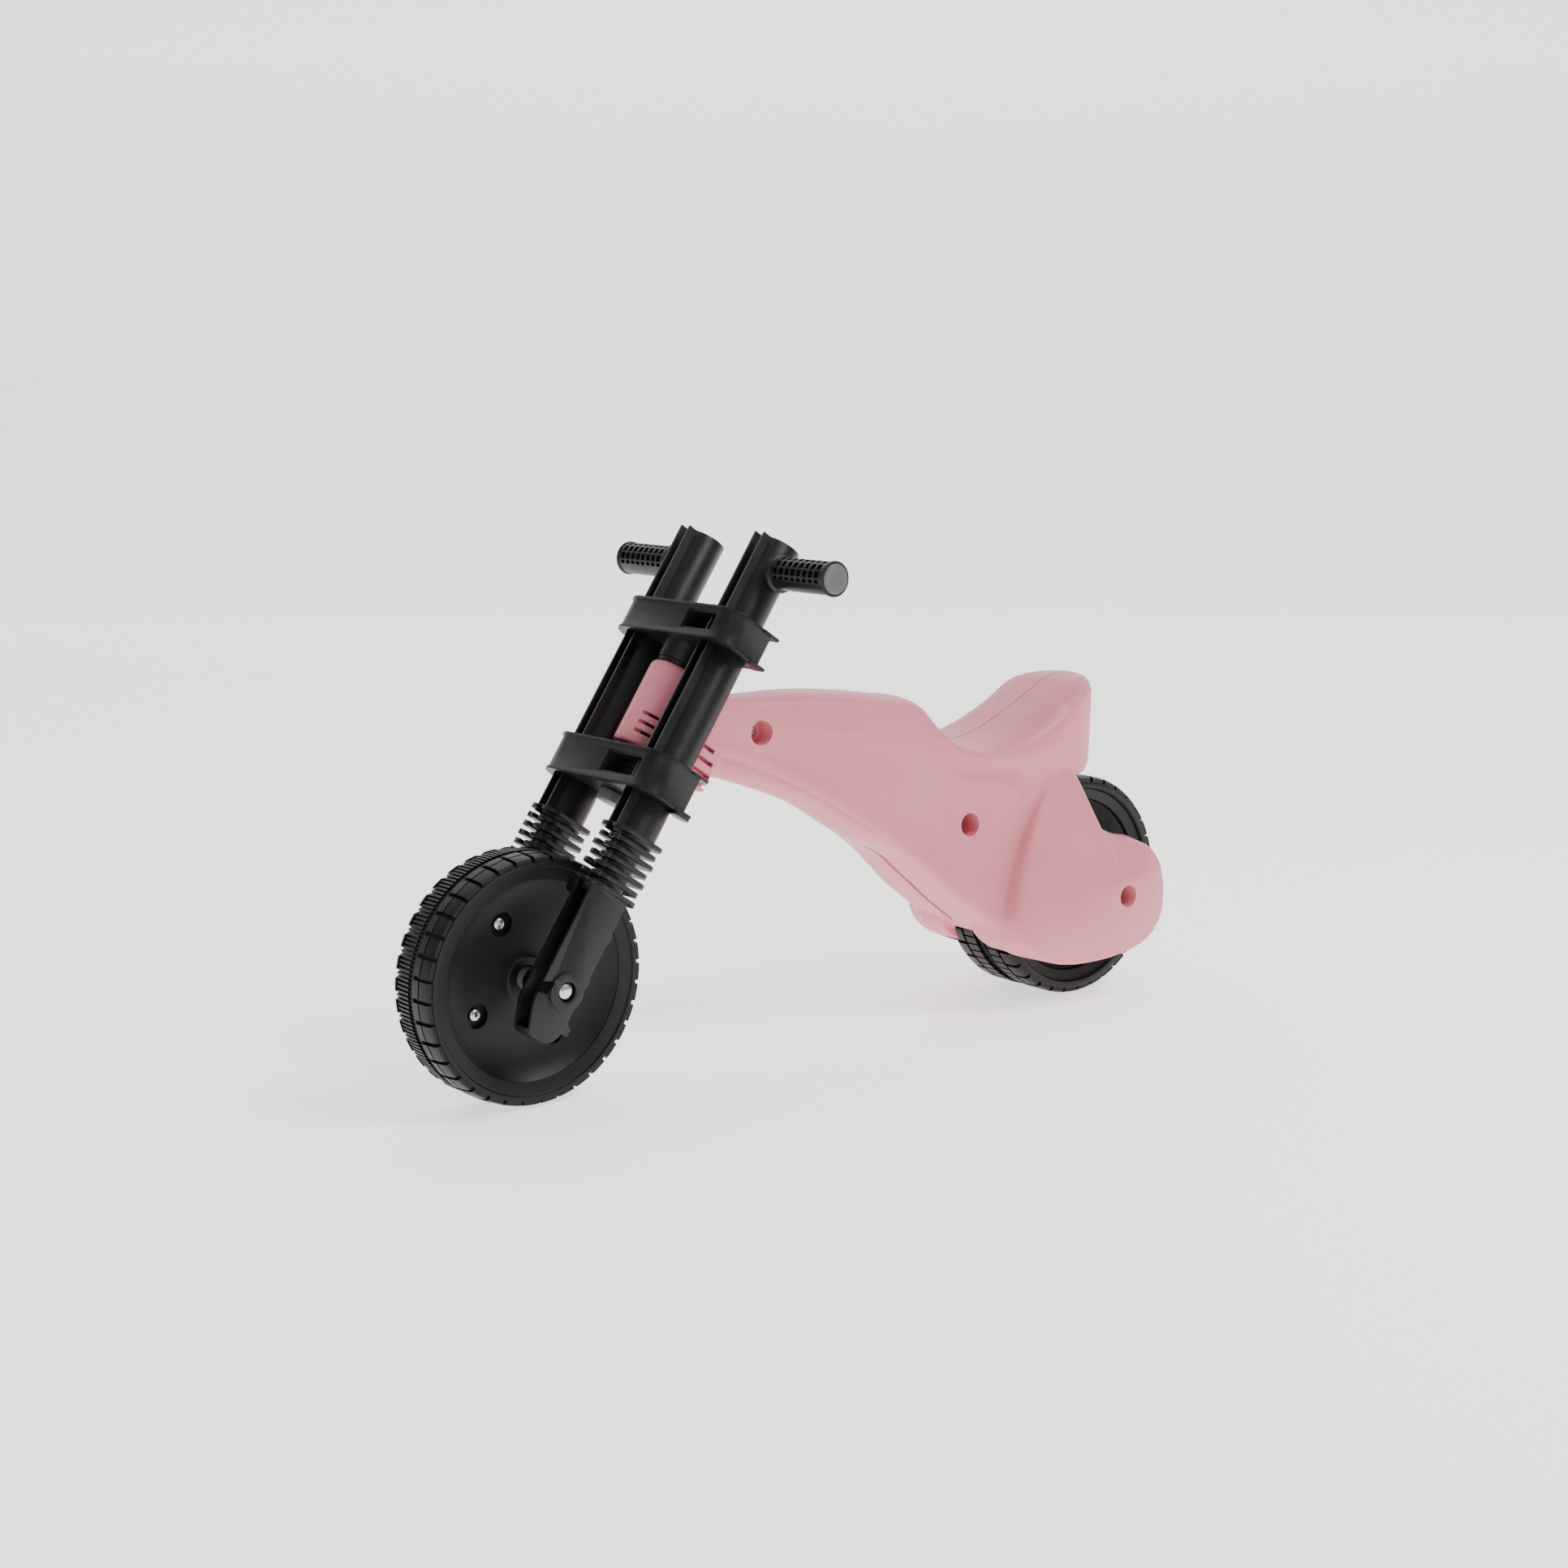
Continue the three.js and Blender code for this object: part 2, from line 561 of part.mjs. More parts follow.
function frontHalf(side) {
  const half = frontWheelWidth / 2;
  const r = wheelRadius;
  const skin = turned([
    [hubBore, gap / 2], [13, gap / 2], [13, 5], [r - 24, 8.8], [r - 11, half - 4], [r - 6, gap / 2],
    [r - 3, gap / 2], [r - 2.6, 2], [r, 4], [r - 0.8, half - 9], [r - 6, half], [r - 18.7, half - 4],
    [r - 23, half - 10], [20, 8], [15.5, hubHalf], [hubBore, hubHalf],
  ]);
  const bosses = [];
  const holes = [];
  for (let i = 0; i < 4; i += 1) {
    const angle = THREE.MathUtils.degToRad(wheelScrewPhase + 90 * i);
    const x = wheelScrewCircle * Math.cos(angle);
    const z = wheelScrewCircle * Math.sin(angle);
    bosses.push(crossRod(10.5, gap / 2, 8.6, x, z));
    holes.push(crossRod(screwRadius + gap, -1, 5, x, z, 12));
    if (side > 0) {
      holes.push(crossRod(8.5, 4, 20, x, z));
    }
  }
  const wheel = cut(join(skin, bosses), shoulderGrooves(half - 9, half + 1, treadLugs), holes);
  return side > 0 ? wheel : mirrored(wheel);
}
place(frontWheel, 'front_wheel_half_left', frontHalf(1), blackPlastic);
place(frontWheel, 'front_wheel_half_right', frontHalf(-1), blackPlastic);
place(frontWheel, 'front_hub_bush', bush(-hubHalf, hubHalf), greyPlastic);
for (let i = 0; i < 4; i += 1) {
  const angle = THREE.MathUtils.degToRad(wheelScrewPhase + 90 * i);
  const x = wheelScrewCircle * Math.cos(angle);
  const z = wheelScrewCircle * Math.sin(angle);
  const screw = join(
    crossRod(screwHeadRadius, 4 + gap, 7.6, x, z, 12),
    crossRod(screwRadius, -4.5, 5, x, z, 12),
  );
  place(frontWheel, `front_wheel_screw_${i + 1}`, screw, brightSteel);
}

// ---------------------------------------------------------------- rear axle and wheels
const rearInner = rearWheelInset;
const rearOuter = rearWheelInset + rearWheelWidth;
const r = wheelRadius;
const webAt = rearInner + rearWheelWidth * 0.42;
const rearWheel = turned([
  [hubBore, rearInner + 0.5], [14, rearInner + 0.5], [15, webAt], [r - 14, webAt], [r - 9, rearInner],
  [r - 6, rearInner], [r, rearInner + 8], [r, rearOuter - 8], [r - 6, rearOuter], [r - 9, rearOuter],
  [r - 14, webAt + 4], [15, webAt + 4], [14, rearOuter - 0.5], [hubBore, rearOuter - 0.5],
]);
place(rearWheels, 'rear_wheel_left', rearWheel, blackPlastic);
place(rearWheels, 'rear_wheel_right', mirrored(rearWheel), blackPlastic);
const rearBush = bush(rearInner + 0.5, rearOuter - 0.5);
place(rearWheels, 'rear_hub_bush_left', rearBush, greyPlastic);
place(rearWheels, 'rear_hub_bush_right', mirrored(rearBush), greyPlastic);
place(rearWheels, 'rear_axle', crossRod(axleRadius, -75, 75, 0, 0, 24), brightSteel);
const collar = (y0, y1, radius) => cut(crossRod(radius, y0, y1), crossRod(axleRadius + gap, y0 - 1, y1 + 1));
place(rearWheels, 'rear_spacer', collar(-rearInner - 0.2, rearInner + 0.2, 8.5), blackPlastic);
place(rearWheels, 'axle_retainer_left', collar(70 + gap, 73, 8.5), brightSteel);
place(rearWheels, 'axle_retainer_right', mirrored(collar(70 + gap, 73, 8.5)), brightSteel);

export default bike;
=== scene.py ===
# Toddler balance bike: pink moulded body, black steering fork, one front wheel and twin rear wheels.
# Lengths below are in millimetres; addPiece brings each finished piece to metres.
import json
import math

import bmesh
import bpy
from mathutils import Matrix, Vector


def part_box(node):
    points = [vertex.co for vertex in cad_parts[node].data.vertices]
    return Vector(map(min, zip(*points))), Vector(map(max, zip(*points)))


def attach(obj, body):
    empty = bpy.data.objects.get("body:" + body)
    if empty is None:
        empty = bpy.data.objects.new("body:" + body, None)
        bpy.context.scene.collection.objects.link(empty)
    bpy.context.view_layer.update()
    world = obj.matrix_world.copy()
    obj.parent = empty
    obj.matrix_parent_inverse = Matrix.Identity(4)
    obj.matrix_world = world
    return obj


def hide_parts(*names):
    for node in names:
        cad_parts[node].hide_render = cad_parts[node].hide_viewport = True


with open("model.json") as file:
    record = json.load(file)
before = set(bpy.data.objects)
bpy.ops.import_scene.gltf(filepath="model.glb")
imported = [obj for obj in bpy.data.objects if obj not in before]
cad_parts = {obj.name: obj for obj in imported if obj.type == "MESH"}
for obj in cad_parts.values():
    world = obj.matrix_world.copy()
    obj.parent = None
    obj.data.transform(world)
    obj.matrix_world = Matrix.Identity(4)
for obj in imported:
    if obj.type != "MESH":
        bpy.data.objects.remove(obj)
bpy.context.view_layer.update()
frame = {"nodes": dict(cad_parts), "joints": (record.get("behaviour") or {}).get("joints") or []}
nodes = frame["nodes"]
joints = {joint["name"]: joint for joint in frame["joints"]}
print("frame loaded")

metres = Matrix.Scale(0.001, 4)
frontAxle = Vector(joints["front_wheel_spin"]["pos_m"])
rearAxle = Vector(joints["rear_left_spin"]["pos_m"])
rearAxle.y = 0
frontAxle.y = 0
steerAxis = Vector(joints["steer"]["axis"])
steerLean = math.atan2(steerAxis.x, steerAxis.z)
axleX, axleZ = frontAxle.x * 1000, frontAxle.z * 1000

bikePlace = metres
# fork drawings: X forwards off the steering line, Y to the left, Z up the fork from the front axle
forkPlace = Matrix.Translation(frontAxle) @ Matrix.Rotation(steerLean, 4, "Y") @ metres
frontWheelPlace = Matrix.Translation(frontAxle) @ metres
rearWheelPlace = Matrix.Translation(rearAxle) @ metres


# working helpers
def addPiece(bm, name, place=bikePlace, mirrored=False):
    bmesh.ops.remove_doubles(bm, verts=bm.verts, dist=1e-3)
    if mirrored:
        bmesh.ops.scale(bm, verts=bm.verts, vec=(1, -1, 1))
    bm.transform(place)
    bmesh.ops.recalc_face_normals(bm, faces=bm.faces)
    mesh = bpy.data.meshes.new(name)
    bm.to_mesh(mesh)
    bm.free()
    piece = bpy.data.objects.new(name, mesh)
    bpy.context.collection.objects.link(piece)
    return piece


def settle(piece):  # takes the piece's modifiers into its mesh
    bpy.context.view_layer.update()
    graph = bpy.context.evaluated_depsgraph_get()
    mesh = bpy.data.meshes.new_from_object(piece.evaluated_get(graph))
    piece.modifiers.clear()
    piece.data = mesh


def carve(piece, tools, operation="DIFFERENCE"):
    for tool in tools:
        cut = piece.modifiers.new("cut", "BOOLEAN")
        cut.operation = operation
        cut.solver = "MANIFOLD"
        cut.object = tool
    settle(piece)
    for tool in tools:
        bpy.data.objects.remove(tool)
    return piece


def copyPiece(piece, name, mirrored=False):
    bm = bmesh.new()
    bm.from_mesh(piece.data)
    if mirrored:
        bmesh.ops.scale(bm, verts=bm.verts, vec=(1, -1, 1))
        bmesh.ops.recalc_face_normals(bm, faces=bm.faces)
    mesh = bpy.data.meshes.new(name)
    bm.to_mesh(mesh)
    bm.free()
    other = bpy.data.objects.new(name, mesh)
    bpy.context.collection.objects.link(other)
    return other


def shadeSmooth(piece, angle=35):
    piece.data.shade_smooth()
    piece.data.set_sharp_from_angle(angle=math.radians(angle))
    return piece


def softenEdges(piece, width, segments=2, angle=35):
    merge = bmesh.new()
    merge.from_mesh(piece.data)
    bmesh.ops.remove_doubles(merge, verts=merge.verts, dist=2e-5)
    bmesh.ops.dissolve_limit(merge, angle_limit=0.02, verts=merge.verts, edges=merge.edges)
    merge.to_mesh(piece.data)
    merge.free()
    edge = piece.modifiers.new("edge", "BEVEL")
    edge.width = width * 0.001
    edge.segments = segments
    edge.limit_method = "ANGLE"
    edge.angle_limit = math.radians(angle)
    edge.use_clamp_overlap = True
    settle(piece)
    return shadeSmooth(piece, angle)


def prism(outline, low, high, along="Z", corner=0, steps=4):
    # an outline drawn flat, its corners rounded, then made solid from low to high
    bm = bmesh.new()
    points = [(a, low, b) if along == "Y" else (a, b, low) for a, b in outline]
    bm.faces.new([bm.verts.new(point) for point in points])
    if corner:
        bmesh.ops.bevel(bm, geom=bm.verts[:], offset=corner, segments=steps, profile=0.5,
                        affect="VERTICES", material=-1)
    grown = bmesh.ops.extrude_face_region(bm, geom=bm.faces[:])["geom"]
    shift = (0, high - low, 0) if along == "Y" else (0, 0, high - low)
    bmesh.ops.translate(bm, verts=[v for v in grown if isinstance(v, bmesh.types.BMVert)], vec=shift)
    return bm


def block(x, y, z):  # a box from its three pairs of limits
    return prism([(x[0], y[0]), (x[1], y[0]), (x[1], y[1]), (x[0], y[1])], z[0], z[1])


def rod(radius, low, high, centre=(0, 0), along="Y", sides=48, endRadius=None):
    bm = bmesh.new()
    bmesh.ops.create_cone(bm, cap_ends=True, segments=sides, radius1=radius,
                          radius2=radius if endRadius is None else endRadius, depth=high - low)
    bmesh.ops.translate(bm, verts=bm.verts, vec=(0, 0, (low + high) / 2))
    if along == "Y":
        bmesh.ops.rotate(bm, verts=bm.verts, cent=(0, 0, 0), matrix=Matrix.Rotation(math.radians(-90), 3, "X"))
        bmesh.ops.translate(bm, verts=bm.verts, vec=(centre[0], 0, centre[1]))
    else:
        bmesh.ops.translate(bm, verts=bm.verts, vec=(centre[0], centre[1], 0))
    return bm


def turned(profile, steps, axis="Y"):
    # a closed (along, radius) profile turned about the axis; faces come out in order round it
    bm = bmesh.new()
    points = [(r, a, 0) if axis == "Y" else (r, 0, a) for a, r in profile]
    verts = [bm.verts.new(point) for point in points]
    edges = [bm.edges.new((a, b)) for a, b in zip(verts, verts[1:] + verts[:1]) if a is not b]
    bmesh.ops.spin(bm, geom=verts + edges, cent=(0, 0, 0), axis=(0, 1, 0) if axis == "Y" else (0, 0, 1),
                   angle=math.tau, steps=steps, use_merge=True)
    bmesh.ops.remove_doubles(bm, verts=bm.verts, dist=1e-3)
    bmesh.ops.recalc_face_normals(bm, faces=bm.faces)
    return bm


def curveThrough(points, steps, closed=False):
    # points on a smooth curve that passes through the given ones
    count = len(points)
    result = []
    for i in range(count if closed else count - 1):
        pick = [points[(i + k) % count] if closed else points[min(max(i + k, 0), count - 1)]
                for k in (-1, 0, 1, 2)]
        for step in range(steps):
            t = step / steps
            result.append(tuple(
                0.5 * (2 * b + (c - a) * t + (2 * a - 5 * b + 4 * c - d) * t * t + (3 * b - a - 3 * c + d) * t ** 3)
                for a, b, c, d in zip(*pick)))
    if not closed:
        result.append(tuple(points[-1]))
    return result


def loft(rings):
    # a skin over a row of closed outlines with the same number of points, ends closed
    bm = bmesh.new()
    verts = [bm.verts.new(point) for point in rings[0]]
    edges = [bm.edges.new(pair) for pair in zip(verts, verts[1:] + verts[:1])]
    bmesh.ops.contextual_create(bm, geom=edges)
    for ring in rings[1:]:
        grown = bmesh.ops.extrude_edge_only(bm, edges=edges)["geom"]
        fresh = {tuple(v.co): v for v in grown if isinstance(v, bmesh.types.BMVert)}
        verts = [fresh[tuple(v.co)] for v in verts]
        for vert, point in zip(verts, ring):
            vert.co = point
        edges = [bm.edges.get(pair) for pair in zip(verts, verts[1:] + verts[:1])]
    bmesh.ops.contextual_create(bm, geom=edges)
    bmesh.ops.recalc_face_normals(bm, faces=bm.faces)
    return bm


# materials
def srgb(code):
    parts = [int(code[i:i + 2], 16) / 255 for i in (1, 3, 5)]
    return [c / 12.92 if c <= 0.04045 else ((c + 0.055) / 1.055) ** 2.4 for c in parts] + [1]


def addNode(tree, kind, settings=None, **inputs):
    node = tree.nodes.new("ShaderNode" + kind)
    for key, value in (settings or {}).items():
        setattr(node, key, value)
    for key, value in inputs.items():
        socket = node.inputs[int(key[1:])] if key[0] == "i" and key[1:].isdigit() else node.inputs[key.replace("_", " ")]
        if isinstance(value, bpy.types.NodeSocket):
            tree.links.new(value, socket)
        else:
            socket.default_value = value
    return node


def plasticMaterial(name, look):
    material = bpy.data.materials.new(name)
    material.use_nodes = True
    tree = material.node_tree
    shader = tree.nodes["Principled BSDF"]
    place = addNode(tree, "TexCoord").outputs["Object"]
    cloud = addNode(tree, "TexNoise", Vector=place, Scale=look["cloudScale"], Detail=4.0, Roughness=0.55)
    tone = addNode(tree, "ValToRGB", Fac=cloud.outputs["Fac"])
    tone.color_ramp.elements[0].position, tone.color_ramp.elements[0].color = 0.35, srgb(look["dark"])
    tone.color_ramp.elements[1].position, tone.color_ramp.elements[1].color = 0.65, srgb(look["light"])
    # faint scuffs: long thin streaks that are paler and duller than the skin round them
    stretch = addNode(tree, "Mapping", Vector=place, Scale=look["scuffStretch"], Rotation=(0.4, 0.9, 0.3))
    streak = addNode(tree, "TexNoise", Vector=stretch.outputs[0], Scale=look["scuffScale"], Detail=6.0, Roughness=0.7)
    scuff = addNode(tree, "MapRange", Value=streak.outputs["Fac"], From_Min=0.62, From_Max=0.78, To_Max=look["scuff"])
    colour = addNode(tree, "Mix", {"data_type": "RGBA"}, i0=scuff.outputs[0], i6=tone.outputs[0], i7=srgb(look["scuffTone"]))
    tree.links.new(colour.outputs[2], shader.inputs["Base Color"])
    # moulded texture: fine spark grain over slow sink marks
    grain = addNode(tree, "TexNoise", Vector=place, Scale=look["grainScale"], Detail=3.0, Roughness=0.6)
    sink = addNode(tree, "TexNoise", Vector=place, Scale=look["cloudScale"] * 3, Detail=2.0)
    slow = addNode(tree, "Bump", Height=sink.outputs["Fac"], Strength=look["sinkDepth"], Distance=0.002)
    bump = addNode(tree, "Bump", Height=grain.outputs["Fac"], Strength=look["grainDepth"], Distance=0.0004,
                   Normal=slow.outputs[0])
    tree.links.new(bump.outputs[0], shader.inputs["Normal"])
    low, high = look["roughness"]
    sheen = addNode(tree, "MapRange", Value=cloud.outputs["Fac"], From_Min=0.3, From_Max=0.7, To_Min=low, To_Max=high)
    dull = addNode(tree, "Math", {"operation": "MULTIPLY_ADD"}, i0=scuff.outputs[0], i1=0.35, i2=sheen.outputs[0])
    tree.links.new(dull.outputs[0], shader.inputs["Roughness"])
    shader.inputs["Specular IOR Level"].default_value = look["specular"]
    if look.get("glow"):  # light carried a little way through the wall
        shader.inputs["Subsurface Weight"].default_value = look["glow"]
        shader.inputs["Subsurface Radius"].default_value = (1.0, 0.35, 0.3)
        shader.inputs["Subsurface Scale"].default_value = 0.004
    return material


def metalMaterial(name, look):
    material = bpy.data.materials.new(name)
    material.use_nodes = True
    tree = material.node_tree
    shader = tree.nodes["Principled BSDF"]
    shader.inputs["Metallic"].default_value = 1.0
    place = addNode(tree, "TexCoord").outputs["Object"]
    cloud = addNode(tree, "TexNoise", Vector=place, Scale=300.0, Detail=4.0)
    tone = addNode(tree, "ValToRGB", Fac=cloud.outputs["Fac"])
    tone.color_ramp.elements[0].position, tone.color_ramp.elements[0].color = 0.3, srgb(look["dark"])
    tone.color_ramp.elements[1].position, tone.color_ramp.elements[1].color = 0.7, srgb(look["light"])
    tree.links.new(tone.outputs[0], shader.inputs["Base Color"])
    spangle = addNode(tree, "TexVoronoi", Vector=place, Scale=900.0)
    rough = addNode(tree, "MapRange", Value=spangle.outputs["Distance"], To_Min=look["roughness"][0], To_Max=look["roughness"][1])
    tree.links.new(rough.outputs[0], shader.inputs["Roughness"])
    bump = addNode(tree, "Bump", Height=cloud.outputs["Fac"], Strength=0.12, Distance=0.0003)
    tree.links.new(bump.outputs[0], shader.inputs["Normal"])
    return material


# moulded polypropylene, satin, a little milky at thin edges
pinkPlastic = plasticMaterial("moulded polypropylene pink", dict(
    dark="#d97f8b", light="#df8893", scuffTone="#e8a3ab", scuff=0.16, scuffScale=16.0, scuffStretch=(1.0, 4.0, 7.0),
    cloudScale=9.0, grainScale=2600.0, grainDepth=0.10, sinkDepth=0.05, roughness=(0.40, 0.50), specular=0.42, glow=0.10))
# glass-filled polypropylene, black, satin off the tool
blackPlastic = plasticMaterial("glass filled polypropylene black", dict(
    dark="#0d0d0e", light="#141415", scuffTone="#37383a", scuff=0.30, scuffScale=22.0, scuffStretch=(1.0, 5.0, 3.0),
    cloudScale=24.0, grainScale=3000.0, grainDepth=0.16, sinkDepth=0.05, roughness=(0.34, 0.46), specular=0.36))
# high-density polyethylene, black, duller from rolling
wheelPlastic = plasticMaterial("high density polyethylene black", dict(
    dark="#080808", light="#0e0e0f", scuffTone="#2c2c2e", scuff=0.30, scuffScale=30.0, scuffStretch=(3.0, 1.0, 3.0),
    cloudScale=20.0, grainScale=2200.0, grainDepth=0.20, sinkDepth=0.06, roughness=(0.38, 0.54), specular=0.3))
# grey polypropylene of the plugs and the pin cap
greyPlastic = plasticMaterial("moulded polypropylene grey", dict(
    dark="#58595b", light="#626264", scuffTone="#8b8b8d", scuff=0.30, scuffScale=40.0, scuffStretch=(1.0, 3.0, 5.0),
    cloudScale=60.0, grainScale=3000.0, grainDepth=0.15, sinkDepth=0.05, roughness=(0.38, 0.50), specular=0.45))
# zinc-plated steel of the screws, bolt and axles
zincSteel = metalMaterial("zinc plated steel", dict(dark="#b9bcc0", light="#dcdee0", roughness=(0.18, 0.38)))
finishes = {"pink_shell": pinkPlastic, "black_plastic": blackPlastic, "wheel_plastic": wheelPlastic,
            "grey_plastic": greyPlastic, "bright_steel": zincSteel}


def finishPiece(piece, body, slot, *replaced):
    piece.data.materials.clear()
    piece.data.materials.append(finishes[slot])
    for name in replaced:
        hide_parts(name)
    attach(piece, body)
    return piece


# ---- body
# one line per station: behind front axle, top, edge height, edge half width, panel half width, panel top,
# crease height, crease half width, height of the bottom seam
bodyStations = [
    (124, 287, 279.5, 17, 17, 269, 245, 17, 231),
    (150, 281, 272, 18, 18, 261, 236, 18, 219),
    (185, 273, 263, 20, 21, 251, 226, 21, 208),
    (240, 272, 260, 26, 28, 246, 200, 28, 187),
    (290, 267.5, 253, 32, 34, 238, 170, 34, 158),
    (330, 261.5, 245, 38, 39, 226, 141, 40, 137),
    (342, 259.8, 242, 40, 40, 221, 131.5, 41.5, 128),
    (350, 255.5, 238, 42, 41, 217, 125, 43, 121),
    (356, 246, 233, 43.5, 41.5, 213.5, 120, 44, 116),
    (365, 235.5, 227, 46, 42, 208, 112, 45, 109),
    (380, 223, 217, 48, 44, 200, 99, 47, 96),
    (405, 218, 212, 50, 45, 194, 81, 50, 77),
    (430, 222, 212, 50, 46, 191, 64, 52, 61),
    (445, 227, 213.5, 50, 46, 190, 70, 52, 66),
    (460, 233, 217, 50, 46, 189, 84, 52, 80),
    (478, 241.5, 224, 49.5, 46, 188.5, 104, 50, 100),
    (490, 248, 230, 48.5, 46, 188, 118, 48, 114),
]
seatTail = [  # behind front axle, top, edge height, half width, bottom
    (452, 230, 215, 48, 188), (478, 241.5, 224, 49.5, 187), (490, 248, 231, 48.5, 186), (506, 256, 245, 47, 185),
    (515, 260, 250, 44.5, 185), (525, 262, 253, 39.5, 188), (532, 262.6, 254, 34, 203), (538, 262.6, 254.5, 26.5, 222),
    (543, 261.6, 254, 16, 240),
]
# wheel cover rim, seen from the side: behind front axle, height, half width there, and where it starts on the panel
coverRim = [
    ((489, 190, 48), (447, 183)), ((470, 177, 50), (447, 163)), ((456, 163, 53), (441, 145)), ((442, 139, 58), (428, 121)),
    ((432, 115, 62), (419, 101)), ((426, 95, 65), (414, 86)), ((424, 79, 66.5), (412, 76)), ((430, 63, 68.5), (421, 60)),
    ((442, 50, 69.5), (440, 47)), ((459, 41, 70), (459, 40)), ((476, 37.6, 72), (476, 37.2)), ((492, 36.9, 74), (492, 37)),
    ((514, 38, 76.5), (514, 37.5)), ((534, 41, 78), (534, 41)), ((551, 45.5, 78.5), (551, 45)), ((565, 54, 78.5), (567, 53)),
    ((574, 68, 78.5), (576, 68)), ((576.5, 84, 78), (579, 84)), ((576, 98, 77), (579.5, 99)), ((572, 112, 76), (578, 113)),
    ((563, 124, 72), (574, 125.5)), ((548, 130.5, 65), (557, 130)), ((533, 136, 59), (533, 137)), ((522, 143, 55), (521, 144)),
    ((514, 152, 52.5), (512, 153)), ((509.5, 164, 50.5), (508, 166)), ((507, 175, 49.5), (506, 176)), ((501, 186, 48.5), (502, 187)),
]
# groove round the panel: behind front axle, height, how far out its middle line runs
panelGroove = [(352, 221, 45), (362, 211, 46.2), (380, 200, 47.0), (401, 195, 47.4), (425, 192, 47.8), (438, 187.5, 48.0), (445, 179, 48.2),
               (446.5, 171, 48.6)]
coverCrown = dict(halfWidth=87.6, hubRadius=13, hubFace=88)
holes = dict(radius=9.2, neck=(199, 245.5), mid=(389, 158), axle=9.0)
well = dict(radius=96, halfWidth=36)
gap = 0.15  # from the middle plane to each shell


def sectionRing(d, top, edgeZ, edgeHalf, panelHalf, panelTop, creaseZ, creaseHalf, seamZ):
    fall, belly = top - edgeZ, creaseZ - seamZ
    half = [(0, top), (0.30 * edgeHalf, top - 0.03 * fall), (0.58 * edgeHalf, top - 0.12 * fall),
            (0.80 * edgeHalf, top - 0.32 * fall), (0.94 * edgeHalf, top - 0.64 * fall), (edgeHalf, edgeZ),
            (edgeHalf * 1.012, edgeZ - 0.3 * (edgeZ - panelTop)), (0.5 * (edgeHalf + panelHalf), edgeZ - 0.65 * (edgeZ - panelTop)),
            (panelHalf, panelTop), (panelHalf - 0.3, panelTop - 0.33 * (panelTop - creaseZ)),
            (0.5 * (panelHalf + creaseHalf) - 0.3, panelTop - 0.67 * (panelTop - creaseZ)), (creaseHalf + 1.2, creaseZ + 5), (creaseHalf, creaseZ + 1),
            (creaseHalf - 5.5, creaseZ - 0.8), (creaseHalf - 4.8, creaseZ - 0.32 * belly), (0.62 * creaseHalf, creaseZ - 0.62 * belly),
            (0.3 * creaseHalf, creaseZ - 0.9 * belly), (0, seamZ)]
    ring = half + [(-y, z) for y, z in half[-2:0:-1]]
    return [(axleX - d, y, z) for y, z in ring]


def tailRing(d, top, edgeZ, halfWidth, bottom):
    fall = top - edgeZ
    half = [(0, top), (0.3 * halfWidth, top - 0.03 * fall), (0.6 * halfWidth, top - 0.12 * fall),
            (0.84 * halfWidth, top - 0.38 * fall), (halfWidth, edgeZ), (halfWidth, 0.7 * edgeZ + 0.3 * bottom), (0.985 * halfWidth, 0.5 * (edgeZ + bottom)),
            (0.96 * halfWidth, bottom + 4), (0.9 * halfWidth, bottom), (0, bottom)]
    ring = half + [(-y, z) for y, z in half[-2:0:-1]]
    return [(axleX - d, y, z) for y, z in ring]


def coverSkin(side):
    line = curveThrough([rim + start for rim, start in coverRim], 4, closed=True)
    centre = (axleX - rearAxle.x * 1000, axleZ)
    rings = []
    for level in (18, 36, 41):
        rings.append([(axleX - d0, side * min(level, y - 4), z0) for d, z, y, d0, z0 in line])
    for share, out in ((0.12, 0.1), (0.5, 0.48), (0.86, 0.9)):  # the step from the panel out to the rim
        rings.append([(axleX - (d0 + (d - d0) * share), side * (41 + (y - 41) * out), z0 + (z - z0) * share)
                      for d, z, y, d0, z0 in line])
    for share in (0.02, 0.06, 0.12, 0.2, 0.3, 0.42, 0.55, 0.68, 0.8, 0.9, 1.0):
        ring = []
        for d, z, y, d0, z0 in line:
            turn = math.atan2(z - centre[1], d - centre[0])
            hubD = centre[0] + coverCrown["hubRadius"] * math.cos(turn)
            hubZ = centre[1] + coverCrown["hubRadius"] * math.sin(turn)
            swell = y + (coverCrown["halfWidth"] - y) * (1 - (1 - share) ** (1 + 0.9 * min(1, max(0, (y - 50) / 20))))
            ring.append((axleX - (d + (hubD - d) * share), side * swell, z + (hubZ - z) * share))
        rings.append(ring)
    return loft(rings)


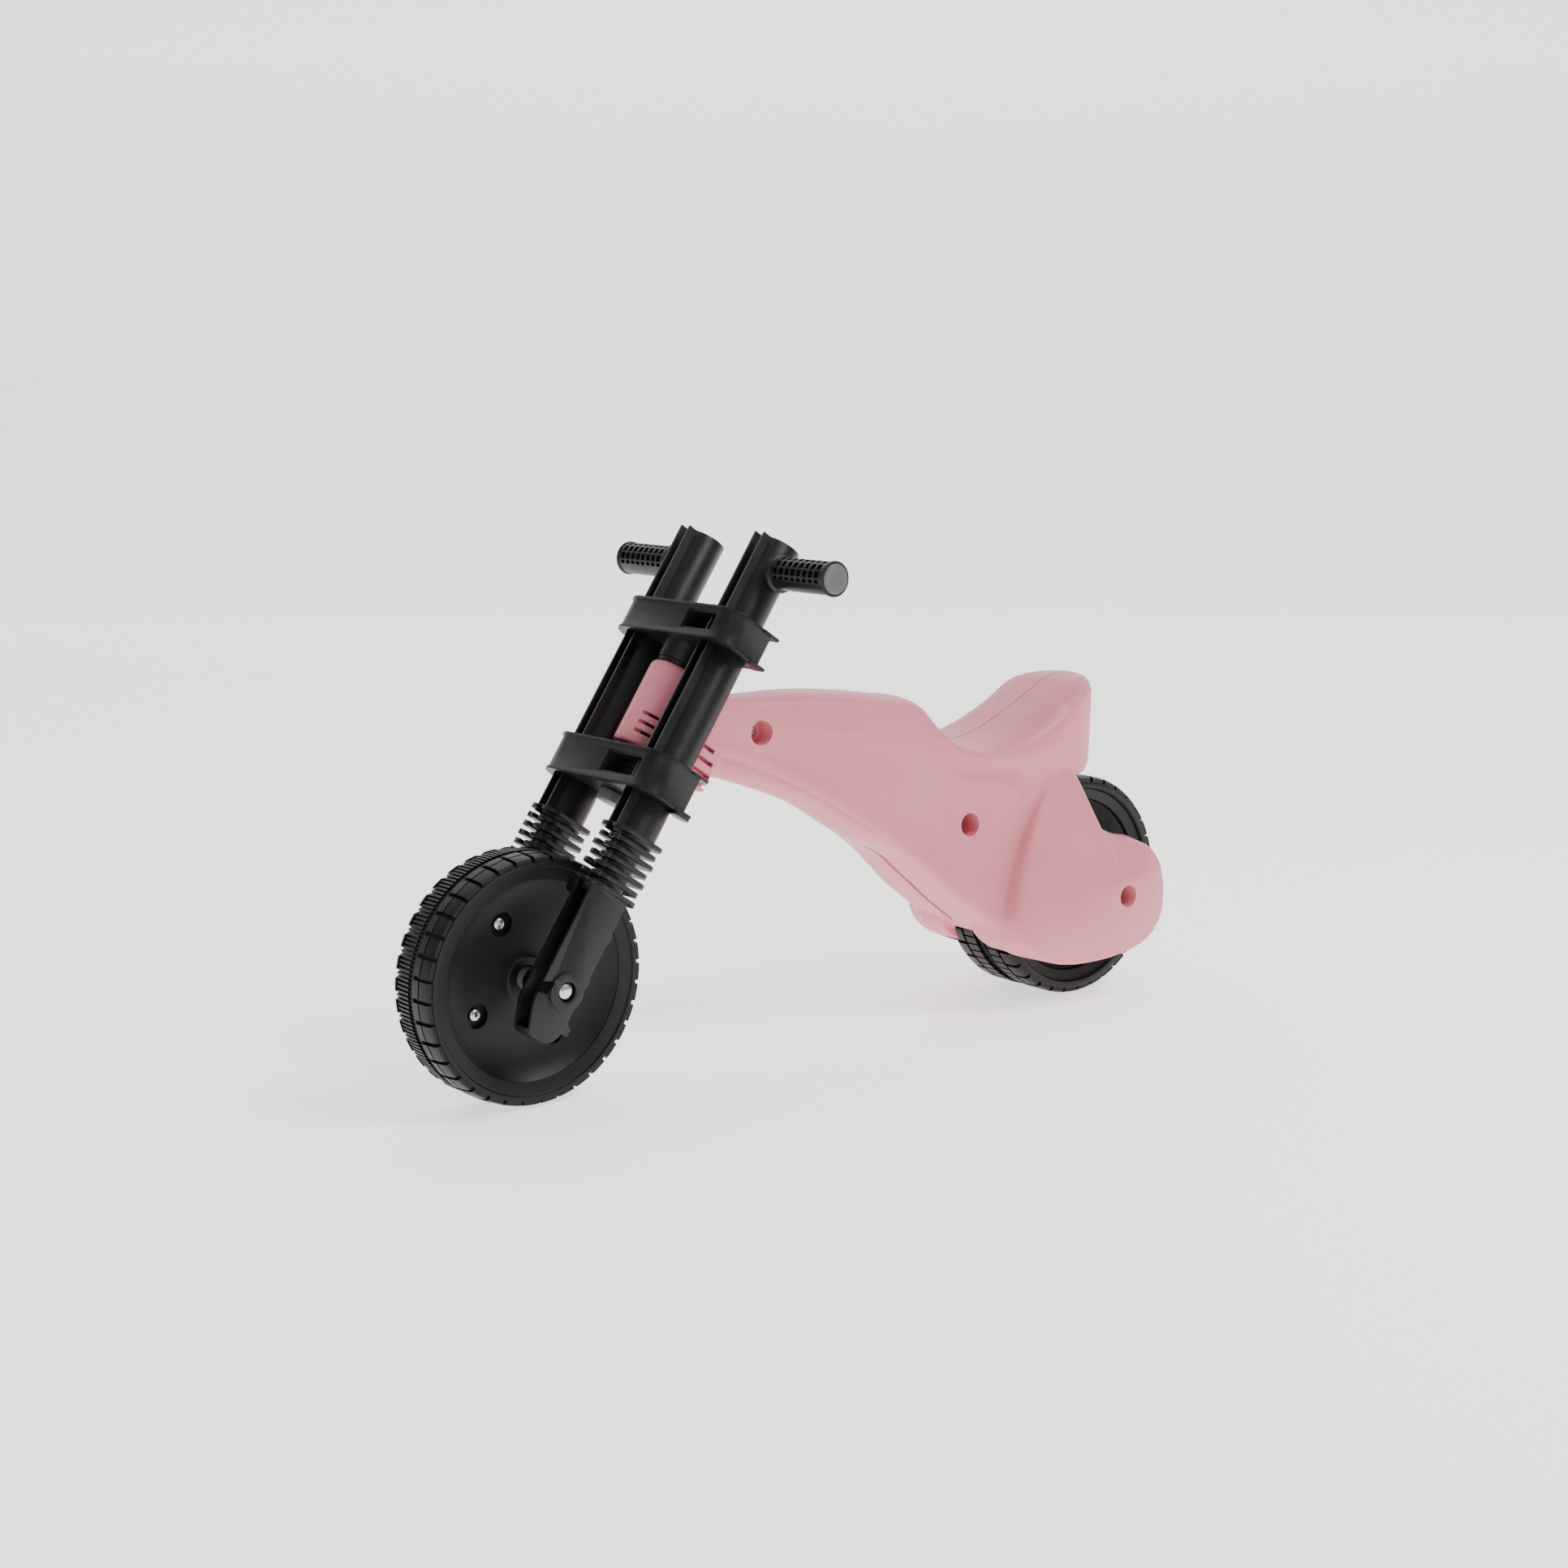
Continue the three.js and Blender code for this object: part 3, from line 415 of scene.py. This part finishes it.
def bodyBlank():
    stations = curveThrough(bodyStations, 4)
    blank = addPiece(loft([sectionRing(*s) for s in stations]), "bodyBlank")
    parts = [addPiece(loft([tailRing(*s) for s in curveThrough(seatTail, 4)]), "seatTail")]
    parts += [addPiece(coverSkin(side), "cover") for side in (1, -1)]
    # head tube with its rounded top edge, and the ribbed gusset behind it
    tube = [(181, 0.01), (181, 17.4), (182, 18), (243, 18), (245.6, 17), (247, 14.6), (247, 0.01)]
    parts.append(addPiece(turned(tube, 64, "Z"), "headTube", forkPlace))
    parts.append(addPiece(prism([(-58, 19), (-58, -19), (-28, -19.5), (-10, -12), (-10, 12), (-28, 19.5)], 178.5, 216, corner=1.5), "gusset", forkPlace))
    carve(blank, parts, "UNION")
    # groove pressed round the top and back of the side panel
    cuts = []
    for side in (1, -1):
        path = curveThrough([(axleX - d, side * y, z) for d, z, y in panelGroove], 5)
        rings = []
        for i, point in enumerate(path):
            along = Vector(path[min(i + 1, len(path) - 1)]) - Vector(path[max(i - 1, 0)])
            across = Vector((-along.z, 0, along.x)).normalized()
            swell = math.sin(math.pi * min(1, (i + 1.2) / 8, (len(path) - i + 0.2) / 8) / 2)
            rings.append([Vector(point) + (across * math.cos(a) * 4.6 + Vector((0, 1, 0)) * math.sin(a) * 4.6) * max(swell, 0.15)
                          for a in [math.tau * k / 14 for k in range(14)]])
        cuts.append(addPiece(loft(rings), "groove"))
    carve(blank, cuts)
    skin = blank.modifiers.new("skin", "REMESH")
    skin.mode = "VOXEL"
    skin.voxel_size = 0.0017
    relax = blank.modifiers.new("relax", "SMOOTH")
    relax.iterations = 3
    relax.factor = 0.5
    settle(blank)
    return blank


def shellCutters(side):
    cut = []
    x = lambda d: axleX - d
    cut.append(addPiece(block((x(700), x(60)), (-100 * side, gap * side) if side > 0 else (gap * side, 100), (0, 400)), "otherSide"))
    wellX = rearAxle.x * 1000
    cut.append(addPiece(rod(well["radius"], -well["halfWidth"], well["halfWidth"], (wellX, axleZ), sides=128), "wheelWell"))
    # belly gap between the shells
    cut.append(addPiece(block((x(413), x(318)), (-2.3, 2.3), (60, 160)), "bellyGap"))
    cut.append(addPiece(block((x(543), x(362)), (-0.55, 0.55), (206, 300)), "seatSeam"))
    # head tube bore, then the slits in it and in the gusset
    cut.append(addPiece(rod(12.6, 170, 260, along="Z", sides=64), "bore", forkPlace))
    for u in (205, 198, 191):
        cut.append(addPiece(block((2, 24), (side * 9, side * 24) if side > 0 else (-24, -9), (u - 1.35, u + 1.35)), "slit", forkPlace))
    for u, back in ((208, -50), (199, -54), (190, -57), (182.5, -59)):
        cut.append(addPiece(block((back, -33), (13, 24) if side > 0 else (-24, -13), (u - 1.6, u + 1.6)), "slit", forkPlace))
    # deep counterbored holes
    axle = (axleX - wellX, axleZ)
    for d, z, radius, floor, face in ((*holes["neck"], holes["radius"], 9, 24.5), (*holes["mid"], holes["radius"], 22, 45.6),
                                      (*axle, holes["axle"], 20, 88)):
        if side > 0 or radius == holes["axle"]:
            low, high = sorted((side * floor, side * (face + 20)))
            cut.append(addPiece(rod(radius, low, high, (x(d), z), sides=64), "hole"))
    return cut


blank = bodyBlank()
shells = {}
for side, name in ((1, "left"), (-1, "right")):
    shell = copyPiece(blank, "bodyShell" + name.capitalize())
    carve(shell, shellCutters(side))
    shadeSmooth(shell, 40)
    finishPiece(shell, "frame", "pink_shell", "body_shell_" + name)
bpy.data.objects.remove(blank)
print("body shells made")

# ---- fork: tube, gaiter rings and wheel leg are one moulding on each side
tube = dict(offset=43.5, setBack=-1.5, radius=15.5, wall=3, cheek=20, slot=8, top=353.4)
gaiter = dict(rings=7, first=75.2, pitch=7.1, thick=3.0, front=21.5, rear=-22.5, inner=28, outer=59, core=12)
leg = dict(front=21, rear=-13, top=76, bottom=-38, inner=32, channel=38, outer=57, wall=3, boss=13.8, recess=7.2)


def arcPoints(centre, radius, start, end, steps):
    angles = [math.radians(start + (end - start) * i / steps) for i in range(steps + 1)]
    return [(centre[0] + radius * math.cos(a), centre[1] + radius * math.sin(a)) for a in angles]


def tubeOutline():
    outer, inner, half = tube["radius"], tube["radius"] - tube["wall"], tube["slot"] / 2
    centre = (tube["setBack"], tube["offset"])
    outAngle = math.degrees(math.asin((half + 1.6) / outer))
    inAngle = math.degrees(math.asin(half / inner))
    line = [(tube["cheek"], centre[1] + half), (tube["cheek"], centre[1] + half + 1.6)]
    line += arcPoints(centre, outer, outAngle, 360 - outAngle, 40)
    line += [(tube["cheek"], centre[1] - half - 1.6), (tube["cheek"], centre[1] - half)]
    return line + arcPoints(centre, inner, 360 - inAngle, inAngle, 36)


def forkLeg(mirrored):
    made = lambda bm, name: addPiece(bm, name, forkPlace)
    leg1 = made(prism(tubeOutline(), 114, tube["top"]), "forkLeg")
    parts = []
    # rim nub at the rear of the open top, and the rib down the back
    parts.append(made(prism([(-19, 41.5), (-15.5, 41), (-15.5, 46), (-19, 45.5)], 150, tube["top"] - 1, corner=0.8), "backRib"))
    parts.append(made(rod(gaiter["core"], 70, 122, (0, 43.5), "Z"), "core"))
    parts.append(made(prism([(-6, 40.5), (16, 40.5), (16, 46.5), (-6, 46.5)], 72, 118), "coreWeb"))
    for i in range(gaiter["rings"]):
        u = gaiter["first"] + i * gaiter["pitch"]
        low, high = u - gaiter["thick"] / 2, u + gaiter["thick"] / 2
        inset = 1.0 if i % 2 else 0.0
        plate = [(gaiter["rear"] + inset, gaiter["inner"] + inset), (gaiter["front"] - inset, gaiter["inner"] + inset),
                 (gaiter["front"] - inset, gaiter["outer"] - inset), (gaiter["rear"] + inset, gaiter["outer"] - inset)]
        parts.append(made(prism(plate, low, high, corner=9, steps=6), "gaiterRing"))
        parts.append(made(rod(2.1, low - 0.4, high + 0.4, (gaiter["front"] - 3.0, gaiter["outer"] - 5.5), "Z", 16), "knob"))
    outline = [(leg["rear"], leg["top"]), (leg["front"], leg["top"]), (leg["front"], -16), (12, leg["bottom"]),
               (-6, leg["bottom"]), (leg["rear"], -27)]
    parts.append(made(prism(outline, leg["channel"], leg["outer"], "Y", corner=5, steps=5), "channel"))
    parts.append(made(prism([(leg["rear"], 64), (leg["front"], 64), (leg["front"], 76), (leg["rear"], 76)], leg["inner"] - 2, leg["outer"], "Y", corner=3), "shelf"))
    parts.append(made(rod(leg["boss"], leg["outer"] - 2, leg["outer"] + 1.6, sides=64), "boss"))
    for z in (12, 46):
        parts.append(made(prism([(-15.6, z - 4), (-12, z - 5), (-12, z + 5), (-15.6, z + 4)], 46, 55, "Y", corner=0.8), "tab"))
    parts.append(made(prism([(-18, -21), (-12, -17), (-12, -27), (-18, -26)], 46, 56.5, "Y", corner=1), "hook"))
    carve(leg1, parts, "UNION")
    # open the channel to the front and run the slot up into the tube
    inside = [(leg["rear"] + 3, 68), (30, 68), (30, -12), (20, leg["bottom"] + 4), (-4, leg["bottom"] + 3), (leg["rear"] + 3, -24)]
    cuts = [made(prism(inside, leg["channel"] + 2.4, leg["outer"] - 2.6, "Y", corner=2.5), "channelSpace"),
            made(block((11, 30), (40.2, 46.8), (60, 119)), "slotLine")]
    carve(leg1, cuts)
    pad = made(rod(10.5, leg["inner"] + 0.2, leg["outer"] - 1.5, sides=48), "pad")
    carve(leg1, [pad], "UNION")
    cuts = [made(rod(5.4, 20, 70, sides=40), "axleHole"),
            made(rod(leg["recess"], leg["outer"] - 3.0, 70, sides=48), "recess")]
    cuts.append(made(prism([(13, 2), (24, -3), (24, -10), (13, -8)], leg["outer"] - 4, 60, "Y", corner=1), "notch"))
    carve(leg1, cuts)
    softenEdges(leg1, 0.55, 2)
    return copyPiece(leg1, "forkLegRight", True) if mirrored else leg1


left = forkLeg(False)
right = copyPiece(left, "forkLegRight", True)
for piece, side in ((left, "left"), (right, "right")):
    shadeSmooth(piece, 35)
    finishPiece(piece, "fork", "black_plastic", "fork_leg_" + side)
print("fork legs made")

# yokes: open-fronted boxes that clamp both tubes
yoke = dict(front=24, rear=-20, wallRear=-15, halfWidth=65.3, lip=1.2, corner=17)
upperYoke = dict(low=264, high=290, window=(16, 47, 271.5, 284.5), end=(57.5, 61, 270, 287), node="upper_yoke")
lowerYoke = dict(low=146, high=176, window=(7, 45, 154, 168.5), end=(57.5, 61, 152, 171), node="lower_yoke")


def makeYoke(shape):
    made = lambda bm, name: addPiece(bm, name, forkPlace)
    low, high, name = shape["low"], shape["high"], shape["node"]
    half = yoke["halfWidth"]
    # plan of the wall: straight front, each end swept back in one arc
    def plan(rear, out):
        radius = yoke["corner"] + out
        centre = (yoke["front"] - yoke["corner"], half - yoke["corner"])
        far = arcPoints((centre[0], centre[1]), radius, 0, 90, 10)
        return [(rear, -half - out)] + [(a, -b) for a, b in far[::-1]] + far + [(rear, half + out)]
    body = made(prism(plan(yoke["wallRear"], 0), low, high), name)
    lips = [made(prism(plan(yoke["rear"], yoke["lip"]), z, z + 2.0), "lip") for z in (low, high - 2.0)]
    for side in (1, -1):  # the lips run on past the wall as short tabs
        for z in (low, high - 2.0):
            lips.append(made(prism([(yoke["rear"] - 1.5, side * 55), (-6, side * 55), (-6, side * (half + 2)), (yoke["rear"] - 1.5, side * (half + 2))],
                                   z, z + 2.0, corner=0.8), "rearTab"))
        if shape is lowerYoke:
            lips.append(made(prism([(-22, side * 56), (-8, side * 56), (-8, side * 67.5), (-22, side * 67.5)], low - 2.5, low + 1.5, corner=3), "lobe"))
    if shape is upperYoke:
        lips.append(made(rod(16, 250.6, 266, along="Z", sides=64), "boss"))
    carve(body, lips, "UNION")
    cuts = []
    w = shape["window"]
    for side in (1, -1):
        if side > 0:  # one window, left of the middle: shallow step, then the deep pocket
            cuts.append(made(block((22.8, 30), (w[0] - 1.3, w[1] + 1.3), (w[2] - 1.3, w[3] + 1.3)), "windowStep"))
            cuts.append(made(block((8, 30), (w[0], w[1]), (w[2], w[3])), "window"))
        e = shape["end"]
        pair = sorted((side * e[0], side * e[1]))
        if side < 0:
            cuts.append(made(block((12, 30), tuple(pair), (e[2], e[3])), "endSlot"))
        cuts.append(made(rod(tube["radius"] + 0.15, low - 10, high + 10, (tube["setBack"], side * tube["offset"]), "Z", 64), "tubeHole"))
        cuts.append(made(block((0, tube["cheek"] + 0.15), (side * tube["offset"] - 6.7, side * tube["offset"] + 6.7),
                               (low - 10, high + 10)), "cheekSlot"))
    cuts.append(made(rod(6.3 if shape is upperYoke else 6.3, low - 20, high + 20, along="Z"), "pinHole"))
    # hollow behind the pin, open to the rear
    cuts.append(made(block((-30, -9.5), (-26, 26), (low + 2.6, high - 2.6)), "backPocket"))
    for side in (1, -1):  # the ends are open behind the tubes too
        cuts.append(made(block((-30, -8), tuple(sorted((side * 50, side * (half - 2.5)))), (low + 2, high - 2)), "endPocket"))
    carve(body, cuts)
    softenEdges(body, 0.6, 2)
    return finishPiece(body, "fork", "black_plastic", shape["node"])


for shape in (upperYoke, lowerYoke):
    makeYoke(shape)
print("yokes made")

# handgrips: a dimpled sleeve with a plain collar, closed by a flat grey plug
grip = dict(height=331.8, start=58.8, end=121.0, radius=11.8, collar=14, rows=8, around=12, dimple=2.2)


def makeGrip():
    # profile along the grip: collar, then ribs and dimple rows in turn, then the end rim
    span = grip["end"] - 4.2 - (grip["start"] + 7)
    pitch = span / grip["rows"]
    line = [(grip["start"], 9.0), (grip["start"], grip["collar"] - 0.8), (grip["start"] + 0.8, grip["collar"]),
            (grip["start"] + 4.2, grip["collar"]), (grip["start"] + 5.2, grip["radius"])]
    for i in range(grip["rows"]):
        at = grip["start"] + 7 + i * pitch
        line += [(at + 0.16 * pitch, grip["radius"]), (at + 0.84 * pitch, grip["radius"])]
    line += [(grip["end"] - 2.6, grip["radius"]), (grip["end"] - 1.8, grip["radius"] + 0.8), (grip["end"] - 0.5, grip["radius"] + 0.8),
             (grip["end"], grip["radius"] + 0.3), (grip["end"], 9.0)]
    bm = turned(line, grip["around"] * 5)
    low, high = grip["start"] + 7, grip["end"] - 4.2
    dimples = []
    for face in bm.faces:
        centre = face.calc_center_median()
        radius = math.hypot(centre.x, centre.z)
        if radius < grip["radius"] - 0.6 or not low < centre.y < high:
            continue
        across = ((centre.y - low) / pitch) % 1
        turn = (math.degrees(math.atan2(centre.z, centre.x)) + 360) % 360
        column = int(turn / 6) % 5
        if 0.17 < across < 0.83 and column < 4 and not 225 < turn < 315:
            dimples.append(face)
    bmesh.ops.inset_region(bm, faces=dimples, thickness=0.12, depth=-grip["dimple"] * 0.3, use_even_offset=True)
    bmesh.ops.inset_region(bm, faces=dimples, thickness=0.3, depth=-grip["dimple"] * 0.7, use_even_offset=True)
    place = forkPlace @ Matrix.Translation((0, 0, grip["height"]))
    sleeve = addPiece(bm, "handgripLeft", place)
    shadeSmooth(sleeve, 32)
    face = [(grip["end"] - 6, 0), (grip["end"] - 6, 8.8), (grip["end"] - 0.6, 8.8), (grip["end"] - 0.4, 10.6),
            (grip["end"] + 0.3, 10.6), (grip["end"] + 0.95, 9.7), (grip["end"] + 0.95, 6.0), (grip["end"] + 0.7, 5.6), (grip["end"] + 0.7, 0)]
    plug = addPiece(turned(face, 72), "gripPlugLeft", place)
    shadeSmooth(plug, 32)
    return sleeve, plug


sleeve, plug = makeGrip()
for piece, name, slot in ((sleeve, "handgrip", "black_plastic"), (plug, "grip_plug", "grey_plastic")):
    other = copyPiece(piece, piece.name.replace("Left", "Right"), True)
    shadeSmooth(other, 32)
    finishPiece(piece, "fork", slot, name + "_left")
    finishPiece(other, "fork", slot, name + "_right")
print("handgrips made")

# ---- wheels
frontWheel = dict(radius=90, blocks=36, screwCircle=46, screwTurn=64, recess=8.8, screwSeat=4.3)
rearWheel = dict(radius=90, blocks=36, inner=2.5, outer=32.5)


def treadFaces(bm, radius, low, high, per, keep):
    # outer faces between two stations, all but the last few columns of every block
    chosen = []
    for face in bm.faces:
        centre = face.calc_center_median()
        if abs(math.hypot(centre.x, centre.z) - radius) < 1.0 and low < centre.y < high:
            column = int(((math.degrees(math.atan2(centre.z, centre.x)) + 360) % 360) + 0.001) % per
            if column < keep:
                chosen.append(face)
    return chosen


def raise_(bm, faces, height):
    grown = bmesh.ops.extrude_face_region(bm, geom=faces)["geom"]
    verts = [v for v in grown if isinstance(v, bmesh.types.BMVert)]
    bmesh.ops.delete(bm, geom=faces, context="FACES")
    for vert in verts:
        spoke = Vector((vert.co.x, 0, vert.co.z))
        vert.co += spoke.normalized() * height
    return [f for f in grown if isinstance(f, bmesh.types.BMFace)]


def frontHalf(ribbed):
    # from the hub bore outwards over the dish and ring, then across the tread to the middle
    line = [(0.15, 9.3), (9.6, 9.3), (10, 9.7), (10, 15.4), (9.4, 16), (8.6, 17.5), (8.5, 24), (8.6, 40), (9.6, 52), (12.0, 61),
            (15.6, 68), (17.6, 70.6), (18.1, 71.3), (18.9, 71.3), (19.2, 72.0), (20.6, 80.4), (21.1, 81.0), (21.9, 81.3),
            (22.0, 82.0), (22.0, 84.2), (21.4, 85.3), (18.5, 86.3), (11.5, 86.9), (10.6, 87), (3.4, 87), (1.6, 87.3), (0.9, 87.3), (0.15, 86.6)]
    if not ribbed:  # blocks stand taller on this side, over a lower bed
        line = [(a, r - 1.1 if r > 84.5 and a > 2 else r) for a, r in line]
        line[-3:] = [(2.9, 85.9), (2.2, 87.6), (0.15, 87.6)]
    bm = turned(line, 360)
    if ribbed:
        ribs = treadFaces(bm, 86.8, 2.2, 11.4, 2, 1) + treadFaces(bm, 86.4, 11.4, 18.4, 2, 1)
        raise_(bm, ribs, 1.9)
        lugs = treadFaces(bm, 85.8, 18.5, 21.4, 10, 6)
        raise_(bm, lugs, 2.6)
    else:
        raise_(bm, treadFaces(bm, 86, 3.4, 10.6, 10, 8), 3.2)
        raise_(bm, treadFaces(bm, 85.2, 11.4, 21.3, 10, 8), 3.0)
    return bm


for side, name in ((1, "left"), (-1, "right")):
    bm = frontHalf(side < 0)
    half = addPiece(bm, "frontWheelHalf" + name.capitalize(), frontWheelPlace, side < 0)
    cuts = []
    for i in range(4):
        turn = math.radians(frontWheel["screwTurn"] + 90 * i)
        at = (frontWheel["screwCircle"] * math.cos(turn), frontWheel["screwCircle"] * math.sin(turn))
        low, high = sorted((side * frontWheel["screwSeat"], side * 30))
        cuts.append(addPiece(rod(frontWheel["recess"], low, high, at, sides=40), "recess", frontWheelPlace))
        cuts.append(addPiece(rod(2.6, -12, 12, at, sides=20), "screwHole", frontWheelPlace))
    carve(half, cuts)
    shadeSmooth(half, 30)
    finishPiece(half, "front_wheel", "wheel_plastic", "front_wheel_half_" + name)

for side, name in ((1, "left"), (-1, "right")):
    line = [(2.5, 9.3), (2.5, 60), (2.5, 82.5), (3.2, 85.5), (5.5, 86.8), (16.6, 86.9), (17.2, 85.9), (18.4, 85.9), (19.0, 86.9), (28.5, 86.8),
            (31.4, 85.4), (32.5, 83.5), (32.5, 80.5), (31.6, 79.6), (29.5, 79.0), (27.5, 71.5), (27, 71), (24.2, 70.5), (20, 64), (16.5, 54),
            (15.5, 40), (15.5, 20), (17, 17), (22, 16), (29.5, 15.6), (30, 15.2), (30, 9.3)]
    bm = turned(line, 360)
    ribs = treadFaces(bm, 86.8, 5.6, 16.4, 5, 4)
    raise_(bm, ribs, 2.9)
    lugs = treadFaces(bm, 86.6, 19.1, 31.3, 10, 8)
    raise_(bm, lugs, 2.9)
    wheel = addPiece(bm, "rearWheel" + name.capitalize(), rearWheelPlace, side < 0)
    shadeSmooth(wheel, 30)
    finishPiece(wheel, "rear_" + name, "wheel_plastic", "rear_wheel_" + name)
print("wheels made")


# ---- small parts: each follows its bare part, edges eased
smallParts = [("head_bush_upper", "frame", "black_plastic", 0.5), ("head_bush_lower", "frame", "black_plastic", 0.5),
              ("rear_spacer", "frame", "black_plastic", 0.4), ("rear_axle", "frame", "bright_steel", 0.4),
              ("axle_retainer_left", "frame", "bright_steel", 0.3), ("axle_retainer_right", "frame", "bright_steel", 0.3),
              ("steering_pin", "fork", "grey_plastic", 0.5), ("steering_pin_nut", "fork", "bright_steel", 0.4),
              ("front_axle_nut", "fork", "bright_steel", 0.4), ("front_spacer_left", "fork", "black_plastic", 0.4),
              ("front_spacer_right", "fork", "black_plastic", 0.4), ("front_hub_bush", "front_wheel", "grey_plastic", 0.3),
              ("rear_hub_bush_left", "rear_left", "grey_plastic", 0.3), ("rear_hub_bush_right", "rear_right", "grey_plastic", 0.3)]
for name, body, slot, ease in smallParts:
    piece = copyPiece(nodes[name], name + "Fine")
    softenEdges(piece, ease, 2, 30)
    finishPiece(piece, body, slot, name)


def crossSlot(piece, place, reach, low, high):
    cuts = [addPiece(block((-reach, reach), (low, high), (-0.55, 0.55)), "slotAcross", place),
            addPiece(block((-0.55, 0.55), (low, high), (-reach, reach)), "slotDown", place)]
    return carve(piece, cuts)


# pan-head screws of the front wheel and the two deep in the body
def screwPiece(name, place, headFrom, headTo, tip, headRadius, shank):
    height = headTo - headFrom
    line = [(tip, 0), (tip, shank - 0.6), (tip + math.copysign(0.6, height), shank), (headFrom, shank), (headFrom, headRadius - 0.2),
            (headFrom + 0.12 * height, headRadius), (headFrom + 0.45 * height, headRadius * 0.96), (headFrom + 0.75 * height, headRadius * 0.8),
            (headFrom + 0.94 * height, headRadius * 0.5), (headTo, headRadius * 0.2), (headTo, 0)]
    screw = addPiece(turned(line, 48), name, place)
    low, high = sorted((headTo - 0.5 * height, headTo + 3 * height))
    crossSlot(screw, place, headRadius * 0.55, low, high)
    return shadeSmooth(screw, 32)


for i in range(4):
    name = f"front_wheel_screw_{i + 1}"
    low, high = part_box(name)
    centre = (low + high) / 2
    place = Matrix.Translation((centre.x, 0, centre.z)) @ Matrix.Rotation(0.5 + i, 4, "Y") @ metres
    screw = screwPiece(f"frontWheelScrew{i + 1}", place, 4.6, 7.6, low.y * 1000, 4.8, 2.1)
    finishPiece(screw, "front_wheel", "bright_steel", name)
for name, title in (("body_screw_neck", "bodyScrewNeck"), ("body_screw_mid", "bodyScrewMid")):
    low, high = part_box(name)
    centre = (low + high) / 2
    place = Matrix.Translation((centre.x, 0, centre.z)) @ Matrix.Rotation(0.7, 4, "Y") @ metres
    screw = screwPiece(title, place, high.y * 1000 - 3, high.y * 1000, low.y * 1000, 4.8, 2.1)
    finishPiece(screw, "frame", "bright_steel", name)

# front axle: domed bolt head in the left leg's recess
low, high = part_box("front_axle")
bolt = dict(head=6, shank=4.95)
line = [(low.y * 1000, 0), (low.y * 1000, bolt["shank"] - 0.7), (low.y * 1000 + 0.7, bolt["shank"]), (54.2, bolt["shank"]), (54.2, bolt["head"]),
        (55.4, bolt["head"]), (56.8, bolt["head"] * 0.9), (57.8, bolt["head"] * 0.62), (58.2, bolt["head"] * 0.3), (58.3, 0)]
axle = shadeSmooth(addPiece(turned(line, 64), "frontAxle", frontWheelPlace), 32)
finishPiece(axle, "fork", "bright_steel", "front_axle")
print("screws and small parts made")

# ---- studio
viewYaw, viewPitch = math.radians(-129.29), math.radians(9.64)
look = Vector((math.cos(viewYaw) * math.cos(viewPitch), math.sin(viewYaw) * math.cos(viewPitch), -math.sin(viewPitch)))
camera = bpy.data.objects.new("camera", bpy.data.cameras.new("camera"))
camera.data.lens = 57.735
camera.data.sensor_width = 36
camera.location = (1.20135, 1.4396, 0.5165)
camera.rotation_euler = look.to_track_quat("-Z", "Y").to_euler()
bpy.context.collection.objects.link(camera)
bpy.context.scene.camera = camera


def softLight(name, place, power, size):
    lamp = bpy.data.objects.new(name, bpy.data.lights.new(name, "AREA"))
    lamp.data.energy = power
    lamp.data.shape = "DISK"
    lamp.data.size = size
    lamp.location = place
    lamp.rotation_euler = (Vector((0, 0, 0.2)) - Vector(place)).to_track_quat("-Z", "Y").to_euler()
    bpy.context.collection.objects.link(lamp)


softLight("key", (-0.9, 1.5, 2.3), 52, 1.1)
softLight("fill", (2.2, 1.6, 1.0), 9, 1.8)
softLight("top", (0.2, -0.8, 2.6), 18, 1.8)

world = bpy.data.worlds.new("studio")
bpy.context.scene.world = world
world.use_nodes = True
world.node_tree.nodes["Background"].inputs["Color"].default_value = (0.86, 0.86, 0.855, 1)
world.node_tree.nodes["Background"].inputs["Strength"].default_value = 0.42

# a paper sweep: flat floor turned up into a wall well behind the bike
bm = bmesh.new()
sweep = [(3.5, 0), (-3.0, 0)] + [(a, b) for a, b in arcPoints((-3.0, 1.2), 1.2, 270, 180, 16)][1:] + [(-4.2, 6.0)]
verts = [bm.verts.new((a, -6, b)) for a, b in sweep]
edges = [bm.edges.new(pair) for pair in zip(verts, verts[1:])]
grown = bmesh.ops.extrude_edge_only(bm, edges=edges)["geom"]
bmesh.ops.translate(bm, verts=[v for v in grown if isinstance(v, bmesh.types.BMVert)], vec=(0, 12, 0))
bmesh.ops.rotate(bm, verts=bm.verts, cent=(0, 0, 0), matrix=Matrix.Rotation(viewYaw + math.pi, 3, "Z"))
floor = addPiece(bm, "floor", Matrix.Identity(4))
shadeSmooth(floor, 60)
paper = bpy.data.materials.new("studio paper")
paper.use_nodes = True
paper.node_tree.nodes["Principled BSDF"].inputs["Base Color"].default_value = srgb("#ececea")
paper.node_tree.nodes["Principled BSDF"].inputs["Roughness"].default_value = 0.9
paper.node_tree.nodes["Principled BSDF"].inputs["Emission Color"].default_value = srgb("#f4f4f2")
paper.node_tree.nodes["Principled BSDF"].inputs["Emission Strength"].default_value = 1.35
floor.data.materials.append(paper)
print("studio set")
